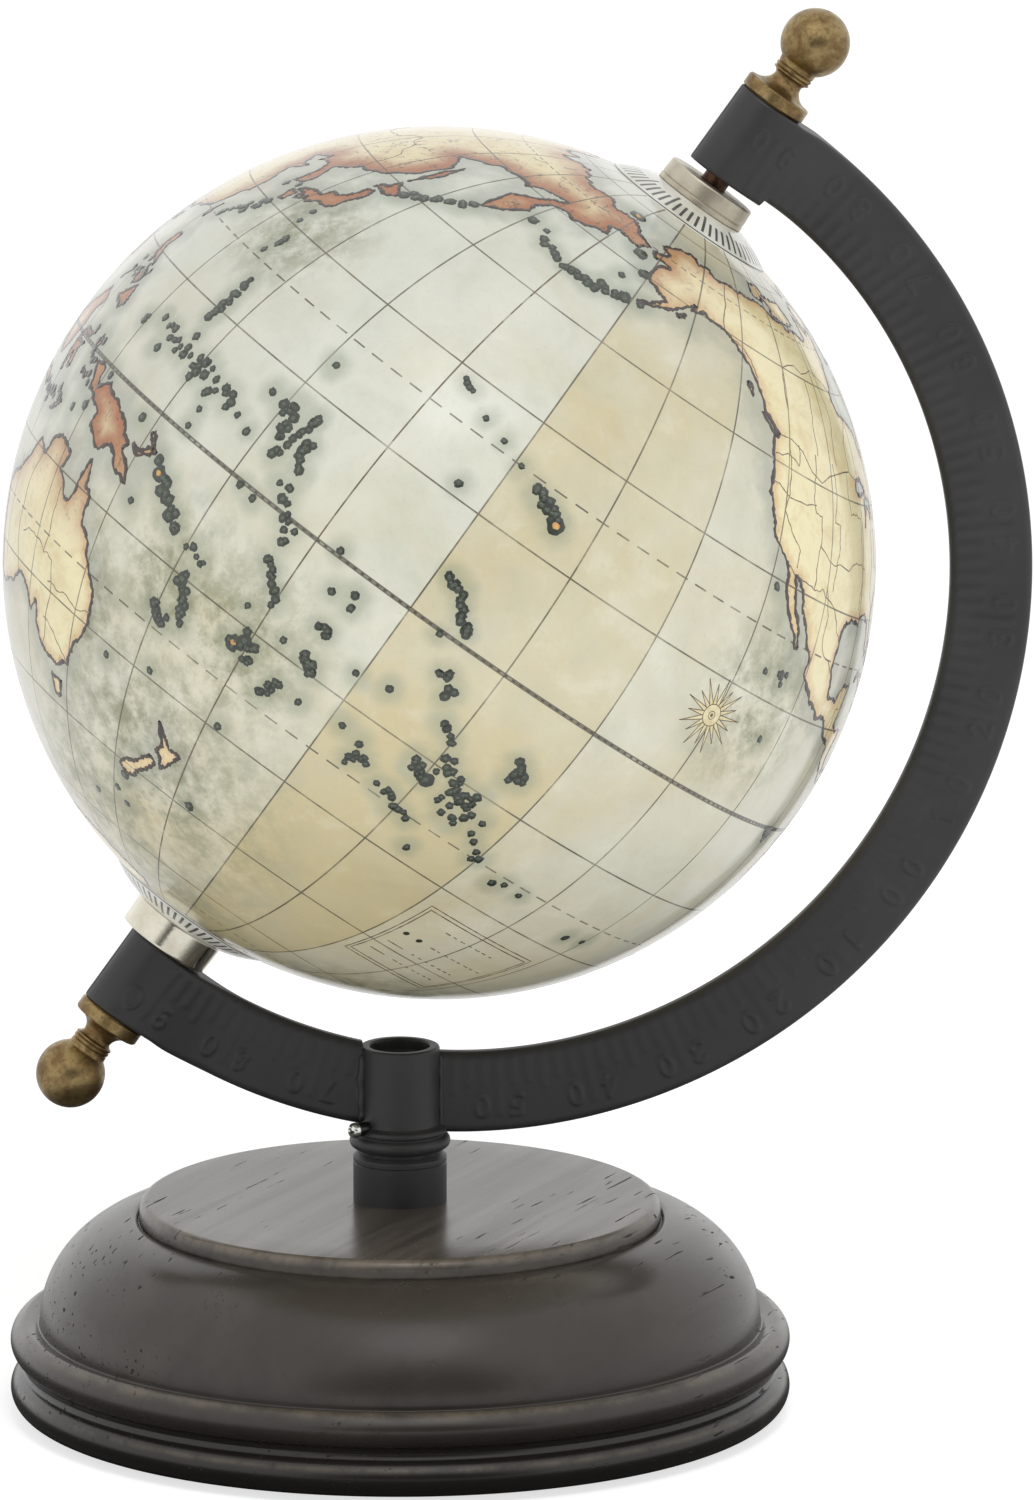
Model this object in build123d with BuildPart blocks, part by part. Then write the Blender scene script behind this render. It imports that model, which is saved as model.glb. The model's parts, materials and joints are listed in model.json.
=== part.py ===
from build123d import *
import os
from math import acos, cos, degrees, radians, sin, sqrt

# Desktop globe on a turned wooden stand, in millimetres.
# The origin is the middle of the underside and +Z is up. The arm lies in the XZ plane with its
# bulge towards +X, and the side with the scale that is seen first faces -Y.

# Globe ball: printed paper on two plastic half shells
GLOBE_D = 127.0
PAPER_T = 0.25
GLUE_T = 0.02
SHELL_WALL = 2.0
GORE_COUNT = 12
GORE_TURN = 18.0
CALOTTE_R = 13.6
CALOTTE_RISE = 1.2
CALOTTE_BULGE = 0.3
CALOTTE_FLAT_D = 14.7
HOOP_W = 16.0
HOOP_T = 1.6

# Spin axis and the rod on it
AXIS_TILT = 36.0
AXLE_D = 4.0
AXLE_THREAD_D = 3.0
AXLE_SHOULDER_SETBACK = 1.0
AXLE_END_GAP = 0.5
RUNNING_CLEARANCE = 0.05
FIT_CLEARANCE = 0.05

# Pole bushes: the flange lies inside the shell, the sleeve comes out through it
BUSH_D = 10.0
BUSH_FLANGE_D = 22.0
BUSH_FLANGE_T = 1.8
BUSH_END_GAP = 0.6

# Ferrules: collars over the bush sleeves, outside the poles
UPPER_FERRULE_H = 4.6
LOWER_FERRULE_H = 5.6
FERRULE_RIM_D = 13.9
FERRULE_FOOT_D = 14.3
FERRULE_ROOF_T = 1.5
FERRULE_BORE_GAP = 0.35
FERRULE_ROUND = 0.35
UPPER_END_GAP = 1.5
LOWER_END_GAP = 0.15

# Arm: a half ring with eased edges and an eye at each end
ARC_WIDTH = 12.1
ARC_THICKNESS = 3.2
ARC_EDGE_R = 1.2
ARC_OFFSET = 5.8
ARC_REACH = 10.9
ARC_LIFT = 2.8
EYE_D = 10.2
EYE_ROUND = 0.5
PAD_HEIGHT = 0.8
PAD_REACH = 6.8
SPOT_FACE_H = 2.0

# Arm's socket on the post, with a bead and a ring round its foot
SOCKET_D = 11.7
SOCKET_H = 15.3
SOCKET_ROUND = 0.6
SOCKET_WELL_D = 8.8
SOCKET_WELL_DEPTH = 1.6
SOCKET_ROOF_T = 3.0
SOCKET_FOOT_D = 12.6
SOCKET_TAPER_H = 0.8
BEAD_D = 14.8
BEAD_H = 2.2
RING_D = 13.8
RING_H = 1.2

# Finials: ball nuts on the rod's ends
FINIAL_FLANGE_D = 10.3
FINIAL_FLANGE_T = 2.2
FINIAL_CHAMFER = 0.6
FINIAL_SHOULDER_D = 6.6
FINIAL_NECK_D = 4.6
FINIAL_NECK_H = 3.7
FINIAL_COLLAR_D = 5.8
FINIAL_COLLAR_H = 5.0
FINIAL_GROOVE_COUNT = 2
FINIAL_GROOVE_W = 0.3
FINIAL_GROOVE_PITCH = 0.65
FINIAL_BALL_D = 10.1
FINIAL_BALL_H = 10.95
FINIAL_THREAD_DEPTH = 6.0

# Post: tube, stud, washers and nut
TUBE_D = 13.7
TUBE_H = 7.2
TUBE_SEAT = 1.5
TUBE_FLOOR_T = 4.0
TUBE_CHAMFER = 0.7
TUBE_LINE_DROP = 1.3
TUBE_LINE_W = 0.3
SWIVEL_WASHER_D = 12.4
SWIVEL_WASHER_T = 0.5
SWIVEL_GAP = 0.1
SPIGOT_D = 8.4
SPIGOT_CHAMFER = 0.6
SPIGOT_END_GAP = 0.5
STUD_D = 6.0
STUD_HOLE_GAP = 0.2
STUD_END = 1.5
POST_WASHER_D = 18.0
POST_WASHER_T = 1.6
NUT_FLATS = 10.0
NUT_H = 5.0
POST_HOLLOW_D = 22.0
POST_HOLLOW_DEPTH = 12.0

# Set screw: its tip runs in a groove of the spigot
SCREW_D = 2.0
SCREW_RISE = 3.6
SCREW_TURN = 30.0
SCREW_HEAD_D = 2.3
SCREW_HEAD_H = 1.1
SCREW_HEAD_GAP = 0.6
SCREW_HEAD_ROUNDING = 0.8
SCREW_SLOT_W = 0.4
SCREW_SLOT_DEPTH = 0.4
SCREW_TIP_GAP = 0.15
SCREW_GROOVE_DEPTH = 0.8

# Turned wooden base, heights from the wood's underside
WOOD_H = 31.0
FOOT_D = 103.0
BASE_BEAD_D = 114.4
BASE_BEAD_SWEEP = 75.0
LOWER_BEAD_R = 2.85
LOWER_BEAD_RISE = 3.1
UPPER_BEAD_R = 2.85
UPPER_BEAD_RISE = 10.2
BEAD_GROOVE_DEPTH = 1.95
DOME_D = 105.8
DOME_RISE = 12.8
DOME_CORNER_W = 16.5
DOME_CORNER_H = 15.8
TOP_DISC_D = 76.4
TOP_DISC_H = 3.3
TOP_ROUND_W = 1.3
TOP_ROUND_H = 1.5
QUIRK_W = 0.4

# Felt disc let into the underside
FELT_D = 98.0
FELT_T = 1.5
FELT_STAND = 0.7
FELT_GAP = 0.2

# Levels on the post's axis
WOOD_TOP = FELT_STAND + WOOD_H
TUBE_FOOT = WOOD_TOP - TUBE_SEAT
TUBE_TOP = WOOD_TOP + TUBE_H
ARM_FOOT = TUBE_TOP + SWIVEL_WASHER_T + SWIVEL_GAP
SOCKET_TOP = ARM_FOOT + SOCKET_H
BORE_TOP = SOCKET_TOP - SOCKET_ROOF_T
SPIGOT_FOOT = TUBE_FOOT + TUBE_FLOOR_T
SPIGOT_TOP = BORE_TOP - SPIGOT_END_GAP
HOLLOW_TOP = FELT_STAND + POST_HOLLOW_DEPTH
NUT_TOP = HOLLOW_TOP - POST_WASHER_T
STUD_FOOT = NUT_TOP - NUT_H - STUD_END
SCREW_Z = ARM_FOOT + SCREW_RISE

# Radii that several pieces share
GLOBE_R = GLOBE_D / 2
PAPER_R = GLOBE_R - PAPER_T
SHELL_R = PAPER_R - GLUE_T
SHELL_INNER_R = SHELL_R - SHELL_WALL
LINING_R = SHELL_INNER_R - GLUE_T
AXLE_R = AXLE_D / 2
AXLE_THREAD_R = AXLE_THREAD_D / 2
BUSH_R = BUSH_D / 2
SPIGOT_R = SPIGOT_D / 2
STUD_R = STUD_D / 2
SCREW_R = SCREW_D / 2
TUBE_R = TUBE_D / 2

# Distances along the spin axis from the ball's middle
UPPER_EYE_FACE = GLOBE_R + UPPER_FERRULE_H + UPPER_END_GAP
LOWER_EYE_FACE = GLOBE_R + LOWER_FERRULE_H + LOWER_END_GAP
CALOTTE_TOP = GLOBE_R + CALOTTE_RISE

# The half ring's inner edge meets the axis behind the upper eye's pad and at the lower eye's face
UPPER_RING_END = UPPER_EYE_FACE + PAD_HEIGHT
ARC_SHIFT = (UPPER_RING_END - LOWER_EYE_FACE) / 2
ARC_INNER_R = sqrt(((UPPER_RING_END + LOWER_EYE_FACE) / 2) ** 2 + ARC_OFFSET ** 2)
ARC_OUTER_R = ARC_INNER_R + ARC_WIDTH
SEAT_HALF_SPAN = sqrt(ARC_OUTER_R ** 2 - ARC_OFFSET ** 2)
UPPER_SEAT = SEAT_HALF_SPAN + ARC_SHIFT
LOWER_SEAT = SEAT_HALF_SPAN - ARC_SHIFT

# The ring's centre stands over the socket, and the ball's middle follows from it
UP_AXIS = Vector(sin(radians(AXIS_TILT)), 0, cos(radians(AXIS_TILT)))
ACROSS = Vector(cos(radians(AXIS_TILT)), 0, -sin(radians(AXIS_TILT)))
ARC_CENTRE_Z = ARM_FOOT + ARC_LIFT + sqrt(ARC_OUTER_R ** 2 - ARC_REACH ** 2)
ARC_CENTRE = Vector(ARC_REACH, 0, ARC_CENTRE_Z)
GLOBE_CENTRE = ARC_CENTRE - ACROSS * ARC_OFFSET - UP_AXIS * ARC_SHIFT
SPIN_AXIS = Axis(GLOBE_CENTRE, UP_AXIS)

# Planes that hold the spin axis: X runs out from it, Y along it to the upper or to the lower pole
UPPER_POLE = Plane(GLOBE_CENTRE, x_dir=ACROSS, z_dir=(0, -1, 0))
LOWER_POLE = Plane(GLOBE_CENTRE, x_dir=ACROSS, z_dir=(0, 1, 0))
ARC_PLANE = Plane(ARC_CENTRE, x_dir=ACROSS, z_dir=(0, -1, 0))
SCREW_OUT = Vector(-cos(radians(SCREW_TURN)), -sin(radians(SCREW_TURN)), 0)


def save(piece, name):
    """Labels a finished piece and writes its file."""
    piece.part.label = name
    export_step(piece.part, f"parts/{name}.step")


def across_axis(pole, along):
    """Plane square to the spin axis, facing the pole, at a distance from the ball's middle."""
    return Plane(GLOBE_CENTRE + pole.y_dir * along, x_dir=ACROSS, z_dir=pole.y_dir)


def screw_plane(reach):
    """Plane square to the set screw, facing out, at a distance from the post's axis."""
    return Plane(Vector(0, 0, SCREW_Z) + SCREW_OUT * reach, x_dir=(0, 0, 1), z_dir=SCREW_OUT)


def height_at(radius, reach):
    """Height of a ball's surface over its equator at a reach from the axis."""
    return sqrt(radius ** 2 - reach ** 2)


def latitude_at(reach):
    """Latitude, in degrees, of the paper's surface at a reach from the axis."""
    return degrees(acos(reach / GLOBE_R))


def on_ball(radius, latitude):
    """Point of a ball's section, the latitude in degrees."""
    return (radius * cos(radians(latitude)), radius * sin(radians(latitude)))


def ball_arc(radius, start, stop):
    """Arc of a ball's section between two latitudes."""
    middle = (start + stop) / 2
    return ThreePointArc(on_ball(radius, start), on_ball(radius, middle), on_ball(radius, stop))


def ball_band(plane, outer, inner, start, stop):
    """Face between two balls' sections from one latitude to another."""
    with BuildSketch(plane) as band:
        with BuildLine():
            outer_arc = ball_arc(outer, start, stop)
            inner_arc = ball_arc(inner, start, stop)
            Line(outer_arc @ 0, inner_arc @ 0)
            Line(outer_arc @ 1, inner_arc @ 1)
        make_face()
    return band.sketch


def ball_line(radius, reach_from, reach_to):
    """Arc along a ball's surface near the pole, between two reaches from the axis."""
    middle = (reach_from + reach_to) / 2
    reaches = (reach_from, middle, reach_to)
    return ThreePointArc(*[(reach, height_at(radius, reach)) for reach in reaches])


# Base


def make_wooden_base():
    """Turned foot: two beads, a dome and a raised top disc, bored for the post from both sides."""
    bead_r = BASE_BEAD_D / 2
    lower_z = FELT_STAND + LOWER_BEAD_RISE
    upper_z = FELT_STAND + UPPER_BEAD_RISE
    groove_z = (lower_z + LOWER_BEAD_R + upper_z - UPPER_BEAD_R) / 2
    dome_z = FELT_STAND + DOME_RISE
    dome_middle = DOME_D / 2 - DOME_CORNER_W
    disc_r = TOP_DISC_D / 2
    dome_stop = degrees(acos((disc_r + QUIRK_W - dome_middle) / DOME_CORNER_W))
    with BuildPart() as base:
        with BuildSketch(Plane.XZ):
            with BuildLine():
                lower = CenterArc(
                    (bead_r - LOWER_BEAD_R, lower_z), LOWER_BEAD_R, -BASE_BEAD_SWEEP, 2 * BASE_BEAD_SWEEP
                )
                upper = CenterArc(
                    (bead_r - UPPER_BEAD_R, upper_z), UPPER_BEAD_R, -BASE_BEAD_SWEEP, 2 * BASE_BEAD_SWEEP
                )
                dome = EllipticalCenterArc(
                    (dome_middle, dome_z), DOME_CORNER_W, DOME_CORNER_H, start_angle=0, arc_size=dome_stop
                )
                rounding = EllipticalCenterArc(
                    (disc_r - TOP_ROUND_W, WOOD_TOP - TOP_ROUND_H),
                    TOP_ROUND_W,
                    TOP_ROUND_H,
                    start_angle=0,
                    arc_size=90,
                )
                Polyline((0, WOOD_TOP), (0, FELT_STAND), (FOOT_D / 2, FELT_STAND), lower @ 0)
                Polyline(lower @ 1, (bead_r - BEAD_GROOVE_DEPTH, groove_z), upper @ 0)
                Line(upper @ 1, dome @ 0)
                Polyline(dome @ 1, (disc_r, WOOD_TOP - TOP_DISC_H), rounding @ 0)
                Line(rounding @ 1, (0, WOOD_TOP))
            make_face()
        revolve(axis=Axis.Z)
        with BuildSketch(Plane.XY.offset(FELT_STAND)):
            Circle(FELT_D / 2 + FELT_GAP)
        extrude(amount=FELT_T - FELT_STAND, mode=Mode.SUBTRACT)
        with BuildSketch(Plane.XY.offset(FELT_STAND)):
            Circle(POST_HOLLOW_D / 2)
        extrude(amount=POST_HOLLOW_DEPTH, mode=Mode.SUBTRACT)
        with BuildSketch(Plane.XY.offset(FELT_STAND)):
            Circle(STUD_R + STUD_HOLE_GAP)
        extrude(amount=WOOD_H, mode=Mode.SUBTRACT)
        with BuildSketch(Plane.XY.offset(TUBE_FOOT)):
            Circle(TUBE_R + FIT_CLEARANCE)
        extrude(amount=TUBE_SEAT, mode=Mode.SUBTRACT)
    return base


def make_felt_pad():
    """Felt disc that the object stands on."""
    with BuildPart() as felt:
        with BuildSketch():
            Circle(FELT_D / 2)
        extrude(amount=FELT_T)
    return felt


def make_pedestal_tube():
    """Tube on the wood: a floor that the stud clamps, a bore above it and a turned line near the top."""
    line_top = TUBE_TOP - TUBE_LINE_DROP
    with BuildPart() as tube:
        with BuildSketch(Plane.XZ):
            with BuildLine():
                Polyline(
                    (STUD_R + STUD_HOLE_GAP, TUBE_FOOT),
                    (TUBE_R, TUBE_FOOT),
                    (TUBE_R, line_top - TUBE_LINE_W),
                    (TUBE_R - TUBE_LINE_W / 2, line_top - TUBE_LINE_W / 2),
                    (TUBE_R, line_top),
                    (TUBE_R, TUBE_TOP - TUBE_CHAMFER),
                    (TUBE_R - TUBE_CHAMFER, TUBE_TOP),
                    (SPIGOT_R + FIT_CLEARANCE, TUBE_TOP),
                    (SPIGOT_R + FIT_CLEARANCE, SPIGOT_FOOT),
                    (STUD_R + STUD_HOLE_GAP, SPIGOT_FOOT),
                    close=True,
                )
            make_face()
        revolve(axis=Axis.Z)
    return tube


def make_pedestal_stud():
    """Pin of the post: a threaded lower end and a spigot with a groove for the set screw's tip."""
    groove_r = SPIGOT_R - SCREW_GROOVE_DEPTH
    groove_half = SCREW_R + SCREW_TIP_GAP
    with BuildPart() as stud:
        with BuildSketch(Plane.XZ):
            with BuildLine():
                Polyline(
                    (0, STUD_FOOT),
                    (STUD_R, STUD_FOOT),
                    (STUD_R, SPIGOT_FOOT),
                    (SPIGOT_R, SPIGOT_FOOT),
                    (SPIGOT_R, SCREW_Z - groove_half),
                    (groove_r, SCREW_Z - groove_half),
                    (groove_r, SCREW_Z + groove_half),
                    (SPIGOT_R, SCREW_Z + groove_half),
                    (SPIGOT_R, SPIGOT_TOP - SPIGOT_CHAMFER),
                    (SPIGOT_R - SPIGOT_CHAMFER, SPIGOT_TOP),
                    (0, SPIGOT_TOP),
                    close=True,
                )
            make_face()
        revolve(axis=Axis.Z)
    return stud


def make_washer(foot, thickness, outer_r, inner_r):
    """Flat washer on the post's axis."""
    with BuildPart() as washer:
        with BuildSketch(Plane.XY.offset(foot)):
            Circle(outer_r)
            Circle(inner_r, mode=Mode.SUBTRACT)
        extrude(amount=thickness)
    return washer


def make_post_nut():
    """Hexagon nut under the base."""
    with BuildPart() as nut:
        with BuildSketch(Plane.XY.offset(NUT_TOP - NUT_H)):
            RegularPolygon(NUT_FLATS / 2, 6, major_radius=False)
            Circle(STUD_R + FIT_CLEARANCE, mode=Mode.SUBTRACT)
        extrude(amount=NUT_H)
    return nut


# Arm


def eye_section(pole, face, seat):
    """Section of a round eye on the spin axis, from its inner face to the finial's seat."""
    with BuildSketch(pole) as section:
        with Locations((0, face)):
            Rectangle(EYE_D / 2, seat - face, align=(Align.MIN, Align.MIN))
        fillet(section.vertices().group_by(Axis.X)[-1], EYE_ROUND)
    return section.sketch


def socket_section():
    """Section of the socket that stands on the post, with a bead and a ring round its foot."""
    foot_r = SOCKET_FOOT_D / 2
    socket_r = SOCKET_D / 2
    bead_top = ARM_FOOT + BEAD_H
    ring_top = bead_top + RING_H
    with BuildSketch(Plane.XZ) as section:
        with BuildLine():
            ThreePointArc(
                (foot_r, ARM_FOOT), (BEAD_D / 2, ARM_FOOT + BEAD_H / 2), (foot_r, bead_top)
            )
            ThreePointArc((foot_r, bead_top), (RING_D / 2, bead_top + RING_H / 2), (foot_r, ring_top))
            rounding = CenterArc(
                (socket_r - SOCKET_ROUND, SOCKET_TOP - SOCKET_ROUND), SOCKET_ROUND, 0, 90
            )
            Polyline((foot_r, ring_top), (socket_r, ring_top + SOCKET_TAPER_H), rounding @ 0)
            Polyline(rounding @ 1, (0, SOCKET_TOP), (0, ARM_FOOT), (foot_r, ARM_FOOT))
        make_face()
    return section.sketch


def make_meridian_arm():
    """Cast half ring with its eyes, the upper eye's pad and the socket, bored for rod, spigot and screw."""
    with BuildPart() as arm:
        with BuildSketch(ARC_PLANE):
            Circle(ARC_OUTER_R)
            Circle(ARC_INNER_R, mode=Mode.SUBTRACT)
            with Locations((-ARC_OFFSET, 0)):
                Rectangle(
                    2 * ARC_OUTER_R, 2 * ARC_OUTER_R, align=(Align.MIN, Align.CENTER), mode=Mode.INTERSECT
                )
        extrude(amount=ARC_THICKNESS / 2, both=True)
        fillet(arm.edges().filter_by(GeomType.CIRCLE), ARC_EDGE_R)
        revolve(eye_section(UPPER_POLE, UPPER_EYE_FACE, UPPER_SEAT), axis=SPIN_AXIS)
        revolve(eye_section(LOWER_POLE, LOWER_EYE_FACE, LOWER_SEAT), axis=SPIN_AXIS)
        with BuildSketch(across_axis(UPPER_POLE, UPPER_EYE_FACE)):
            Rectangle(PAD_REACH, ARC_THICKNESS, align=(Align.MIN, Align.CENTER))
        extrude(amount=PAD_HEIGHT + ARC_EDGE_R)
        revolve(socket_section(), axis=Axis.Z)
        for pole, seat in ((UPPER_POLE, UPPER_SEAT), (LOWER_POLE, LOWER_SEAT)):
            with BuildSketch(across_axis(pole, 0)):
                Circle(AXLE_R + FIT_CLEARANCE)
            extrude(amount=seat, mode=Mode.SUBTRACT)
            with BuildSketch(across_axis(pole, seat)):
                Circle(FINIAL_FLANGE_D / 2 + FIT_CLEARANCE)
            extrude(amount=SPOT_FACE_H, mode=Mode.SUBTRACT)
        with BuildSketch(Plane.XY.offset(ARM_FOOT)):
            Circle(SPIGOT_R + RUNNING_CLEARANCE)
        extrude(amount=BORE_TOP - ARM_FOOT, mode=Mode.SUBTRACT)
        with BuildSketch(Plane.XY.offset(SOCKET_TOP - SOCKET_WELL_DEPTH)):
            Circle(SOCKET_WELL_D / 2)
        extrude(amount=ARC_WIDTH, mode=Mode.SUBTRACT)
        with BuildSketch(screw_plane(0)):
            Circle(SCREW_R + FIT_CLEARANCE)
        extrude(amount=BEAD_D / 2, mode=Mode.SUBTRACT)
    return arm


def make_set_screw():
    """Round-headed screw through the socket's foot."""
    tip_reach = SPIGOT_R - SCREW_GROOVE_DEPTH + SCREW_TIP_GAP
    head_reach = BEAD_D / 2 + SCREW_HEAD_GAP
    head_r = SCREW_HEAD_D / 2
    with BuildPart() as screw:
        with BuildSketch(screw_plane(tip_reach)):
            Circle(SCREW_R)
        extrude(amount=head_reach - tip_reach)
        with BuildSketch(screw_plane(head_reach)):
            Circle(head_r)
        extrude(amount=SCREW_HEAD_H)
        rim = screw.faces().sort_by(Axis((0, 0, 0), SCREW_OUT))[-1].edges()
        fillet(rim, SCREW_HEAD_ROUNDING * min(SCREW_HEAD_H, head_r))
        with BuildSketch(screw_plane(head_reach + SCREW_HEAD_H)):
            Rectangle(SCREW_SLOT_W, SCREW_HEAD_D)
        extrude(amount=-SCREW_SLOT_DEPTH, mode=Mode.SUBTRACT)
    return screw


def make_axle_rod():
    """Rod through the ball, with a thinner thread at each end."""
    upper_shoulder = UPPER_SEAT - AXLE_SHOULDER_SETBACK
    lower_shoulder = LOWER_SEAT - AXLE_SHOULDER_SETBACK
    upper_end = UPPER_SEAT + FINIAL_THREAD_DEPTH - AXLE_END_GAP
    lower_end = LOWER_SEAT + FINIAL_THREAD_DEPTH - AXLE_END_GAP
    with BuildPart() as rod:
        with BuildSketch(UPPER_POLE):
            with BuildLine():
                Polyline(
                    (0, -lower_end),
                    (AXLE_THREAD_R, -lower_end),
                    (AXLE_THREAD_R, -lower_shoulder),
                    (AXLE_R, -lower_shoulder),
                    (AXLE_R, upper_shoulder),
                    (AXLE_THREAD_R, upper_shoulder),
                    (AXLE_THREAD_R, upper_end),
                    (0, upper_end),
                    close=True,
                )
            make_face()
        revolve(axis=SPIN_AXIS)
    return rod


def make_finial(pole, seat):
    """Ball nut: chamfered flange, waisted neck, grooved collar and ball, with a blind thread."""
    flange_r = FINIAL_FLANGE_D / 2
    shoulder_r = FINIAL_SHOULDER_D / 2
    neck_r = FINIAL_NECK_D / 2
    collar_r = FINIAL_COLLAR_D / 2
    ball_r = FINIAL_BALL_D / 2
    bore_r = AXLE_THREAD_R + FIT_CLEARANCE
    flange_top = seat + FINIAL_FLANGE_T
    neck_z = seat + FINIAL_NECK_H
    collar_z = seat + FINIAL_COLLAR_H
    ball_z = seat + FINIAL_BALL_H
    ball_foot = ball_z - sqrt(ball_r ** 2 - collar_r ** 2)
    sweep_x = shoulder_r - (shoulder_r - neck_r) * sin(radians(45))
    sweep_z = neck_z - (neck_z - flange_top) * sin(radians(45))
    collar = [(neck_r, neck_z), (collar_r, collar_z)]
    for number in range(FINIAL_GROOVE_COUNT):
        groove_z = collar_z + (number + 0.5) * FINIAL_GROOVE_PITCH
        collar.append((collar_r, groove_z - FINIAL_GROOVE_W / 2))
        collar.append((collar_r - FINIAL_GROOVE_W / 2, groove_z))
        collar.append((collar_r, groove_z + FINIAL_GROOVE_W / 2))
    collar.append((collar_r, ball_foot))
    with BuildPart() as finial:
        with BuildSketch(pole):
            with BuildLine():
                Polyline(
                    (0, seat + FINIAL_THREAD_DEPTH),
                    (bore_r, seat + FINIAL_THREAD_DEPTH),
                    (bore_r, seat),
                    (flange_r - FINIAL_CHAMFER, seat),
                    (flange_r, seat + FINIAL_CHAMFER),
                    (flange_r, flange_top),
                    (shoulder_r, flange_top),
                )
                ThreePointArc((shoulder_r, flange_top), (sweep_x, sweep_z), (neck_r, neck_z))
                Polyline(*collar)
                ThreePointArc((collar_r, ball_foot), (ball_r, ball_z), (0, ball_z + ball_r))
                Line((0, ball_z + ball_r), (0, seat + FINIAL_THREAD_DEPTH))
            make_face()
        revolve(axis=SPIN_AXIS)
    return finial


# Globe


def make_half_shell(pole):
    """Hollow half ball with a round hole at its pole."""
    with BuildPart() as shell:
        revolve(ball_band(pole, SHELL_R, SHELL_INNER_R, 0, 90), axis=SPIN_AXIS)
        with BuildSketch(across_axis(pole, 0)):
            Circle(BUSH_R + FIT_CLEARANCE)
        extrude(amount=SHELL_R, mode=Mode.SUBTRACT)
    return shell


def make_equator_hoop():
    """Hoop inside the seam of the two half balls."""
    half = HOOP_W / 2
    rim = height_at(LINING_R, half)
    with BuildPart() as hoop:
        with BuildSketch(UPPER_POLE):
            with BuildLine():
                ThreePointArc((rim, -half), (LINING_R, 0), (rim, half))
                Polyline((rim, half), (rim - HOOP_T, half), (rim - HOOP_T, -half), (rim, -half))
            make_face()
        revolve(axis=SPIN_AXIS)
    return hoop


def make_pole_bush(pole, ferrule_h):
    """Flanged sleeve that carries a half ball and its ferrule and runs on the rod."""
    flange_r = BUSH_FLANGE_D / 2
    bore_r = AXLE_R + RUNNING_CLEARANCE
    flange_rim = height_at(LINING_R, flange_r)
    top = GLOBE_R + ferrule_h - FERRULE_ROOF_T - BUSH_END_GAP
    with BuildPart() as bush:
        with BuildSketch(pole):
            with BuildLine():
                seat = ball_line(LINING_R, flange_r, BUSH_R)
                Polyline(
                    seat @ 1,
                    (BUSH_R, top),
                    (bore_r, top),
                    (bore_r, flange_rim - BUSH_FLANGE_T),
                    (flange_r, flange_rim - BUSH_FLANGE_T),
                    seat @ 0,
                )
            make_face()
        revolve(axis=SPIN_AXIS)
    return bush


def make_ferrule(pole, ferrule_h):
    """Collar that stands on the polar cap, over the bush's sleeve, with a hole for the rod in its roof."""
    foot_r = FERRULE_FOOT_D / 2
    rim_r = FERRULE_RIM_D / 2
    sleeve_r = BUSH_R + FIT_CLEARANCE
    seat = CALOTTE_TOP + GLUE_T
    end = GLOBE_R + ferrule_h
    with BuildPart() as ferrule:
        with BuildSketch(pole):
            with BuildLine():
                Polyline(
                    (sleeve_r, seat),
                    (foot_r, seat),
                    (rim_r, end),
                    (AXLE_R + FERRULE_BORE_GAP, end),
                    (AXLE_R + FERRULE_BORE_GAP, end - FERRULE_ROOF_T),
                    (sleeve_r, end - FERRULE_ROOF_T),
                    close=True,
                )
            make_face()
        revolve(axis=SPIN_AXIS)
        fillet(ferrule.edges().filter_by(GeomType.CIRCLE).sort_by(SortBy.RADIUS)[-2:], FERRULE_ROUND)
    return ferrule


def make_gore(number):
    """One printed paper gore, from calotte to calotte."""
    gore_angle = 360 / GORE_COUNT
    edge = latitude_at(CALOTTE_R)
    outwards = ACROSS.rotate(Axis((0, 0, 0), UP_AXIS), GORE_TURN + number * gore_angle)
    side = Plane(GLOBE_CENTRE, x_dir=outwards, z_dir=outwards.cross(UP_AXIS))
    with BuildPart() as gore:
        revolve(ball_band(side, GLOBE_R, PAPER_R, -edge, edge), axis=SPIN_AXIS, revolution_arc=gore_angle)
    return gore


def make_calotte(pole):
    """Raised round cap about a pole, inside the gores' ends, with a flat that the ferrule stands on."""
    hole_r = BUSH_R + 2 * FIT_CLEARANCE
    flat_r = CALOTTE_FLAT_D / 2
    rim = on_ball(GLOBE_R, latitude_at(CALOTTE_R))
    rim_foot = on_ball(PAPER_R, latitude_at(CALOTTE_R))
    crown = ((CALOTTE_R + flat_r) / 2, (rim[1] + CALOTTE_TOP) / 2 + CALOTTE_BULGE)
    with BuildPart() as calotte:
        with BuildSketch(pole):
            with BuildLine():
                underside = ball_line(PAPER_R, rim_foot[0], hole_r)
                ThreePointArc(rim, crown, (flat_r, CALOTTE_TOP))
                Polyline((flat_r, CALOTTE_TOP), (hole_r, CALOTTE_TOP), underside @ 1)
                Line(underside @ 0, rim)
            make_face()
        revolve(axis=SPIN_AXIS)
    return calotte


os.makedirs("parts", exist_ok=True)

save(make_wooden_base(), "wooden_base")
save(make_felt_pad(), "base_felt_pad")
save(make_pedestal_tube(), "pedestal_tube")
save(make_pedestal_stud(), "pedestal_stud")
save(make_washer(NUT_TOP, POST_WASHER_T, POST_WASHER_D / 2, STUD_R + STUD_HOLE_GAP), "post_washer")
save(make_post_nut(), "post_nut")
save(
    make_washer(TUBE_TOP, SWIVEL_WASHER_T, SWIVEL_WASHER_D / 2, SPIGOT_R + FIT_CLEARANCE), "swivel_washer"
)

save(make_meridian_arm(), "meridian_arm")
save(make_set_screw(), "set_screw")
save(make_axle_rod(), "axle_rod")
save(make_finial(UPPER_POLE, UPPER_SEAT), "upper_finial")
save(make_finial(LOWER_POLE, LOWER_SEAT), "lower_finial")

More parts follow.
